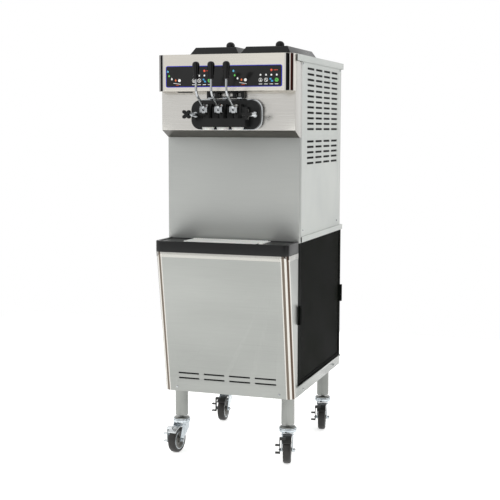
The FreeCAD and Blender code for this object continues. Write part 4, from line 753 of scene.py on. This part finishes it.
lever = joined([lever_rod()] + lever_yoke())
height = grip_high.z - grip_low.z
grip = turned((0, ROD_Y, grip_low.z), Z, [
    (0, 4.6), (0, 7.6), (0.8, 8.7), (2.2, 9.2), (5.5, 9.3), (6.6, 8.9), (8, 9.4), (height * 0.4, 11.2),
    (height * 0.62, 12.9), (height * 0.76, 13.5), (height * 0.86, 12.9), (height * 0.93, 10.9),
    (height * 0.975, 7.6), (height * 0.995, 3.6), (height, 0)], 40)
grip = modify(grip, "SUBSURF", levels=1, render_levels=1)
for side, x in VALVES.items():
    fit(copied(lever, (x, 0, 0)), f"lever_{side}_made", f"lever_{side}", "polished_steel",
        FINISH["polished_steel"],
        f"draw_lever_{side}", smooth=40)
    fit(copied(grip, (x, 0, 0)), f"grip_{side}_made", f"lever_{side}", "grip_plastic",
        FINISH["grip_plastic"],
        f"lever_grip_{side}", smooth=60)
bpy.data.objects.remove(lever)
bpy.data.objects.remove(grip)

knob_low, knob_high = box_mm("star_knob_right")
KNOB_AT, KNOB_FRONT, KNOB_LEVEL = 115.0, knob_low.y, 1302.0
LOBE, LOBE_REACH, KNOB_THICK = 6.5, 12.5, 14.0
# The knob fits its box: lobes of 6.5 mm whose centres stand 12.5 mm from the spindle.
for side, sign, start in (("left", -1, 45), ("right", 1, 0)):
    outline = []
    for lobe in range(4):
        heading = start + 90 * lobe
        centre = (LOBE_REACH * math.cos(math.radians(heading)),
                  LOBE_REACH * math.sin(math.radians(heading)))
        outline += arc(centre, LOBE, heading - 100, heading + 100, 10)
        waist = math.radians(heading + 45)
        outline.append((6.6 * math.cos(waist), 6.6 * math.sin(waist)))
    shape = [(sign * KNOB_AT + a, KNOB_FRONT, KNOB_LEVEL + b) for a, b in outline]
    knob = ease(plate(shape, (0, KNOB_THICK, 0)), 2.4, 4, 40)
    boss = turned((sign * KNOB_AT, KNOB_FRONT + KNOB_THICK - 1, KNOB_LEVEL), Y,
                  [(0, 0), (0, 9.5), (3, 9.0), (4.5, 7.6), (4.5, 0)], 28)
    fit(joined([knob, boss]), f"star_knob_{side}_made", f"knob_{side}", "grip_plastic",
        FINISH["grip_plastic"],
        f"star_knob_{side}", smooth=40)
    # Threaded spindle: turned with 2 mm ridges up to a plain collar against the door.
    ridges, reach = [], knob_high.y - (KNOB_FRONT + KNOB_THICK + 3.5)
    for step in range(int((reach - 6) / 2.4)):
        ridges += [(step * 2.4, 5.4), (step * 2.4 + 1.2, 6.6)]
    profile = [(0, 4.2)] + ridges + [(reach - 5, 5.4), (reach - 5, 9), (reach - 4.4, 10), (reach - 1, 10),
                                     (reach, 9), (reach, 4.2)]
    spindle = turned((sign * KNOB_AT, KNOB_FRONT + KNOB_THICK + 3.5, KNOB_LEVEL), Y, profile, 28)
    fit(spindle, f"knob_spindle_{side}", f"knob_{side}", "polished_steel", FINISH["polished_steel"],
        smooth=30)

# ------------------------------------------------------------------------------------------
# Draw switches: carrier, uprights with windows, and a bright paddle over each valve
# ------------------------------------------------------------------------------------------

switch_low, switch_high = box_mm("draw_switches")
carrier = [block((switch_low.x, switch_low.y, switch_high.z - 5), switch_high, 0.8)]
for start in (switch_low.x, -40.0, 28.0, switch_high.x - 12):
    carrier.append(block((start, switch_low.y, switch_low.z), (start + 12, switch_low.y + 17,
                                                               switch_high.z - 3), 1.2))
carrier.append(block((switch_low.x + 4, switch_low.y + 3, switch_low.z + 1),
                     (switch_high.x - 4, switch_low.y + 9, switch_low.z + 7), 1.0))
fit(joined(carrier), "switch_carrier", "cabinet", SLOT_OF["draw_switches"], FINISH["black_plastic"],
    "draw_switches")
windows = [block((x - 9, switch_high.y - 4, switch_low.z + 9), (x + 9, switch_high.y - 2,
                                                                switch_high.z - 7), 0.5)
           for x in (VALVES["left"] + 3, VALVES["centre"], VALVES["right"] - 3)]
fit(joined(windows), "switch_windows", "cabinet", "white_plastic", FINISH["white_plastic"])
PADDLE_FACE, PADDLE_LEVEL, PADDLE_DEPTH = -287.0, 1360.0, 16.0
PADDLE = ((-10, 0), (-8, 4), (8, 4), (10, 0), (7, -1.8), (-7, -1.8))
paddles = [ease(plate([(x + a, PADDLE_FACE, PADDLE_LEVEL + b) for a, b in PADDLE], (0, PADDLE_DEPTH, 0)),
                0.9)
           for x in VALVES.values()]
fit(joined(paddles), "switch_paddles", "cabinet", "polished_steel", FINISH["polished_steel"])
# A black strip under the left of the head, where it shows dark: painted shade.
shade_strip = block((-196, -262.5, 1384.4), (-139, -258.3, 1386.9), 0.5)
fit(shade_strip, "head_gasket", "cabinet", "black_plastic", BLACK_SHADE)

# ------------------------------------------------------------------------------------------
# Hopper lids
# ------------------------------------------------------------------------------------------

for side, sign in (("left", -1), ("right", 1)):
    low, high = box_mm(f"hopper_lid_{side}")
    centre = Vector(((low.x + high.x) / 2, (low.y + high.y) / 2, 0))
    LID_TOP, LID_BEVEL, LID_EDGE = low.z + 37, 20.0, 5.0
    lid = block((low.x, low.y, low.z), (high.x, high.y, low.z + LID_EDGE))
    open_piece(lid)
    pick_faces(lid, lambda face: face.normal.z > 0.5)
    bpy.ops.mesh.extrude_region_move(TRANSFORM_OT_translate={"value": Z * (LID_TOP - low.z - LID_EDGE) * MM})
    bpy.ops.transform.resize(value=(1 - 2 * LID_BEVEL / (high.x - low.x),
                                    1 - 2 * LID_BEVEL / (high.y - low.y), 1),
                             center_override=centre * MM)
    bpy.ops.mesh.inset(thickness=9 * MM, depth=0)
    bpy.ops.mesh.inset(thickness=1.5 * MM, depth=-1.2 * MM)
    pick_faces(lid, lambda face: face.normal.z < -0.5)
    bpy.ops.mesh.inset(thickness=3 * MM, depth=0)
    bpy.ops.mesh.extrude_region_move(TRANSFORM_OT_translate={"value": Z * (LID_EDGE - 1) * MM})
    ease(lid, 1.6, 3, 15)
    knob = turned((centre.x, centre.y, LID_TOP - 1.4), Z, [
        (0, 0), (0, 14.5), (2.5, 14.5), (4, 13.0), (6, 12.6), (8.5, 14.4), (12, 16.6), (17, 17.6),
                                                           (22, 17.0),
        (27, 14.2), (30.5, 10.2), (32.5, 5.4), (33.2, 0)], 36)
    fit(joined([lid, modify(knob, "SUBSURF", levels=1, render_levels=1)]), f"lid_{side}_made",
        f"lid_{side}",
        SLOT_OF[f"hopper_lid_{side}"], FINISH["black_plastic"], f"hopper_lid_{side}", smooth=40)

# ------------------------------------------------------------------------------------------
# Drip grid: bars with small teeth along both long edges
# ------------------------------------------------------------------------------------------

grid_low, grid_high = box_mm("drip_grid")
eased_copy("drip_grid", 0.5)
TOOTH_PITCH, TEETH_IN_ROW, NOTCH = 7.6, 39, (276, 300)
tooth = block((grid_low.x + 3, grid_low.y, grid_high.z - 0.6), (grid_low.x + 6.2, grid_low.y + 5,
                                                                grid_high.z + 1.4), 0.6)
teeth = [copied(tooth, (TOOTH_PITCH * i, y, 0))
         for i in range(TEETH_IN_ROW) for y in (0, grid_high.y - grid_low.y - 5)
         if not (y == 0 and NOTCH[0] < TOOTH_PITCH * i + 3 < NOTCH[1])]
bpy.data.objects.remove(tooth)
fit(joined(teeth), "grid_teeth", "grid", SLOT_OF["drip_grid"], FINISH["white_plastic"])

# ------------------------------------------------------------------------------------------
# Air filters: frame, wire mesh and C-shaped pulls
# ------------------------------------------------------------------------------------------

# The wire is drawn 5 mm apart, about twice as coarse as the real 2 mm mesh, so that it shows.
WIRE_PITCH, WIRE = 5.0, 1.1
for side, sign in (("left", -1), ("right", 1)):
    node = f"air_filter_{side}"
    low, high = box_mm(node)
    eased_copy(node, 0.8)
    face = sign * (max(abs(low.x), abs(high.x)) - 9)
    window_low, window_high = Vector((0, low.y + 36, low.z + 12)), Vector((0, high.y - 22, high.z - 6))
    deep = sorted((face - sign * 4.0, face - sign * 2.6))
    wires = []
    count_y = int((window_high.y - window_low.y) / WIRE_PITCH)
    count_z = int((window_high.z - window_low.z) / WIRE_PITCH)
    upright = block((deep[0], window_low.y + 2, window_low.z), (deep[1], window_low.y + 2 + WIRE,
                                                                window_high.z))
    modify(upright, "ARRAY", count=count_y, use_relative_offset=False, use_constant_offset=True,
           constant_offset_displace=Y * WIRE_PITCH * MM)
    level = block((deep[0] + 0.3, window_low.y, window_low.z + 2),
                  (deep[1] - 0.1, window_high.y, window_low.z + 2 + WIRE))
    modify(level, "ARRAY", count=count_z, use_relative_offset=False, use_constant_offset=True,
           constant_offset_displace=Z * WIRE_PITCH * MM)
    fit(joined([upright, level]), f"filter_wire_{side}", f"filter_{side}", "filter_plastic", COATED_WIRE)

# ------------------------------------------------------------------------------------------
# Casters: forks and brakes eased from each leg's CAD pieces; wheel, dust ring and axle nuts modelled once
# under their own swivel and copied to each leg
# ------------------------------------------------------------------------------------------

for name in ("caster_fork", "caster_brake"):
    for corner in ("front_left", "front_right", "rear_left", "rear_right"):
        eased_copy(f"{name}_{corner}", 0.7, 3)

TRAIL, WHEEL, TYRE = -42.0, 50.0, 13.0
axle = (0, TRAIL, WHEEL)
tyre = turned(axle, X, [(-13.5, WHEEL - TYRE), (-15, WHEEL - TYRE + 2), (-15, WHEEL - 7),
                        (-13.8, WHEEL - 3.4),
                        (-10.5, WHEEL - 0.9), (-5, WHEEL - 0.05), (5, WHEEL - 0.05), (10.5, WHEEL - 0.9),
                        (13.8, WHEEL - 3.4),
                        (15, WHEEL - 7), (15, WHEEL - TYRE + 2), (13.5, WHEEL - TYRE),
                        (-13.5, WHEEL - TYRE)], 64)
band = turned(axle, X, [(-13.6, WHEEL - TYRE - 3.4), (-14.4, WHEEL - TYRE - 2.6),
                        (-14.4, WHEEL - TYRE - 0.6), (-13.4, WHEEL - TYRE),
                        (13.4, WHEEL - TYRE), (14.4, WHEEL - TYRE - 0.6), (14.4, WHEEL - TYRE - 2.6),
                        (13.6, WHEEL - TYRE - 3.4), (-13.6, WHEEL - TYRE - 3.4)], 64)
hub = turned(axle, X, [(-17.3, 4.2), (-17.3, 9), (-16.5, 10), (-9, 11.5), (-6.5, 14), (-6.5, 21),
                       (-12.5, 30), (-13.2, WHEEL - TYRE - 3.3),
                       (13.2, WHEEL - TYRE - 3.3), (12.5, 30), (6.5, 21), (6.5, 14), (9, 11.5), (16.5, 10),
                       (17.3, 9), (17.3, 4.2), (-17.3, 4.2)], 48)
LEG_X, FRONT_LEG, REAR_LEG = 216.5, -182.0, 325.0
CORNERS = {"front_left": (-LEG_X, FRONT_LEG, -6), "front_right": (LEG_X, FRONT_LEG, 14),
           "rear_left": (-LEG_X, REAR_LEG, 4), "rear_right": (LEG_X, REAR_LEG, 12)}
fork_top = box_mm("caster_fork_front_left")[1].z
collar = turned((0, 0, fork_top), -Z, [(-0.1, 26), (-0.1, 29.5), (1.2, 31.5), (3.6, 33.3), (5.0, 33.3),
                                       (5.2, 32.2), (5.2, 26), (-0.1, 26)], 56)
nuts = [turned((side * 25.4, TRAIL, WHEEL), X * side, [(0, 0), (0, 7.4), (3.4, 7.4), (4.4, 6.2), (4.6, 3.6),
                                                       (6.4, 3.4), (6.8, 2.4), (6.8, 0)], 6)
        for side in (-1, 1)]
nuts = joined(nuts)
for corner, (x, y, heading) in CORNERS.items():
    wheel_node = f"caster_wheel_{corner}"
    slot = SLOT_OF[wheel_node]
    fit(copied(tyre, (x, y, 0), heading), f"tyre_{corner}", f"wheel_{corner}", slot, FINISH["caster_tyre"],
        wheel_node)
    fit(copied(band, (x, y, 0), heading), f"wheel_band_{corner}", f"wheel_{corner}", "caster_zinc",
        FINISH["caster_zinc"], wheel_node)
    fit(copied(hub, (x, y, 0), heading), f"wheel_hub_{corner}", f"wheel_{corner}", "caster_zinc", HUB_ALLOY,
        wheel_node, smooth=30)
    fit(copied(collar, (x, y, 0), heading), f"dust_ring_{corner}", f"caster_{corner}", "brake_black",
        FINISH["brake_black"])
    fit(copied(nuts, (x, y, 0), heading), f"axle_nuts_{corner}", f"caster_{corner}", "caster_zinc",
        FINISH["polished_steel"])
for model in (tyre, band, hub, collar, nuts):
    bpy.data.objects.remove(model)

# ------------------------------------------------------------------------------------------
# Floor, light and camera
# ------------------------------------------------------------------------------------------

clear_bench()
bpy.ops.mesh.primitive_plane_add(size=5, location=(0, 0, -0.0005))
floor = bpy.context.object
floor.name = "studio_floor"
paint = bpy.data.materials.new("white_studio_floor")
paint.use_nodes = True
tree = paint.node_tree
tree.nodes.clear()
ray = add(tree, "LightPath")
seen = add(tree, "Math", links={0: ray.outputs["Is Camera Ray"], 1: ray.outputs["Is Glossy Ray"]},
           operation="ADD", use_clamp=True)
seen = add(tree, "Math", links={0: seen.outputs["Value"], 1: ray.outputs["Is Transmission Ray"]},
           operation="ADD", use_clamp=True)
lift = add(tree, "Math", values={1: 0.6}, links={0: seen.outputs["Value"]}, operation="MULTIPLY")
matt = add(tree, "BsdfDiffuse", values={"Color": linear("#F0F0EE")})
glow = add(tree, "Emission", values={"Color": (1, 1, 1, 1)}, links={"Strength": lift.outputs["Value"]})
both = add(tree, "AddShader", links={0: matt.outputs["BSDF"], 1: glow.outputs["Emission"]})
add(tree, "OutputMaterial", links={"Surface": both.outputs["Shader"]})
floor.data.materials.append(paint)

AMBIENT = 0.62
world = bpy.data.worlds.new("studio")
world.use_nodes = True
bpy.context.scene.world = world
tree = world.node_tree
tree.nodes.clear()
ray = add(tree, "LightPath")
direction = add(tree, "TexCoord").outputs["Generated"]
parts = add(tree, "SeparateXYZ", links={"Vector": direction})
heading = add(tree, "Math", links={0: parts.outputs["X"], 1: parts.outputs["Y"]}, operation="ARCTAN2")
turn = add(tree, "MapRange", values={"From Min": -math.pi, "From Max": math.pi},
           links={"Value": heading.outputs["Value"]})
flags = add(tree, "ValToRGB", links={"Fac": turn.outputs["Result"]})
# Black studio flags stand upright between the white screens, so that round metal shows dark lines.
ramp = flags.color_ramp
FLAG = (0.10, 0.09, 0.085, 1)
WHITE = (1, 1, 1, 1)


def bearing(degrees):
    """The ramp's place for a heading measured from the front (-Y) towards +X."""
    x, y = math.sin(math.radians(degrees)), -math.cos(math.radians(degrees))
    return (math.atan2(x, y) + math.pi) / math.tau


FLAGS = [(34, 62), (98, 122), (-132, -108)]
stops = [(0.0, WHITE)]
for start, end in FLAGS:
    a, b = sorted((bearing(start), bearing(end)))
    stops += [(a - 0.004, WHITE), (a, FLAG), (b, FLAG), (b + 0.004, WHITE)]
stops = sorted(stops, key=lambda stop: stop[0]) + [(1.0, WHITE)]
while len(ramp.elements) < len(stops):
    ramp.elements.new(0.5)
for element, (at, colour) in zip(ramp.elements, stops):
    element.position = at
for element, (at, colour) in zip(ramp.elements, stops):
    element.color = colour
glossy = add(tree, "MixRGB", values={"Color1": WHITE}, links={"Fac": ray.outputs["Is Glossy Ray"],
                                                              "Color2": flags.outputs["Color"]})
shown = add(tree, "Math", links={0: ray.outputs["Is Camera Ray"], 1: ray.outputs["Is Glossy Ray"]},
            operation="ADD", use_clamp=True)
shown = add(tree, "Math", links={0: shown.outputs["Value"], 1: ray.outputs["Is Transmission Ray"]},
            operation="ADD", use_clamp=True)
strength = add(tree, "MapRange", values={"To Min": AMBIENT, "To Max": 1.0},
               links={"Value": shown.outputs["Value"]})
sky = add(tree, "Background", links={"Color": glossy.outputs["Color"],
                                     "Strength": strength.outputs["Result"]})
add(tree, "OutputWorld", links={"Surface": sky.outputs["Background"]})


def soft_box(name, place, aim, size, watts):
    """A square soft box that looks at a point."""
    lamp = bpy.data.lights.new(name, "AREA")
    lamp.size, lamp.energy = size, watts
    box = bpy.data.objects.new(name, lamp)
    bpy.context.collection.objects.link(box)
    box.location = place
    box.visible_glossy = False
    box.rotation_euler = (Vector(aim) - Vector(place)).to_track_quat("-Z", "Y").to_euler()


soft_box("key_light", (-2.4, -3.4, 3.4), (0, 0, 0.8), 2.2, 95)
soft_box("fill_light", (3.6, -2.2, 2.4), (0, 0, 0.8), 2.6, 55)
soft_box("back_light", (0.5, 3.8, 3.2), (0, 0, 0.9), 2.6, 60)

camera = bpy.data.objects.new("camera", bpy.data.cameras.new("camera"))
bpy.context.collection.objects.link(camera)
camera.location = (1.4009, -4.1215, 1.2535)
camera.rotation_euler = (math.radians(83.73), math.radians(-0.14), math.radians(18.77))
camera.data.lens = 79.92
camera.data.sensor_width = 36
bpy.context.scene.camera = camera
bpy.context.scene.view_settings.view_transform = "Standard"
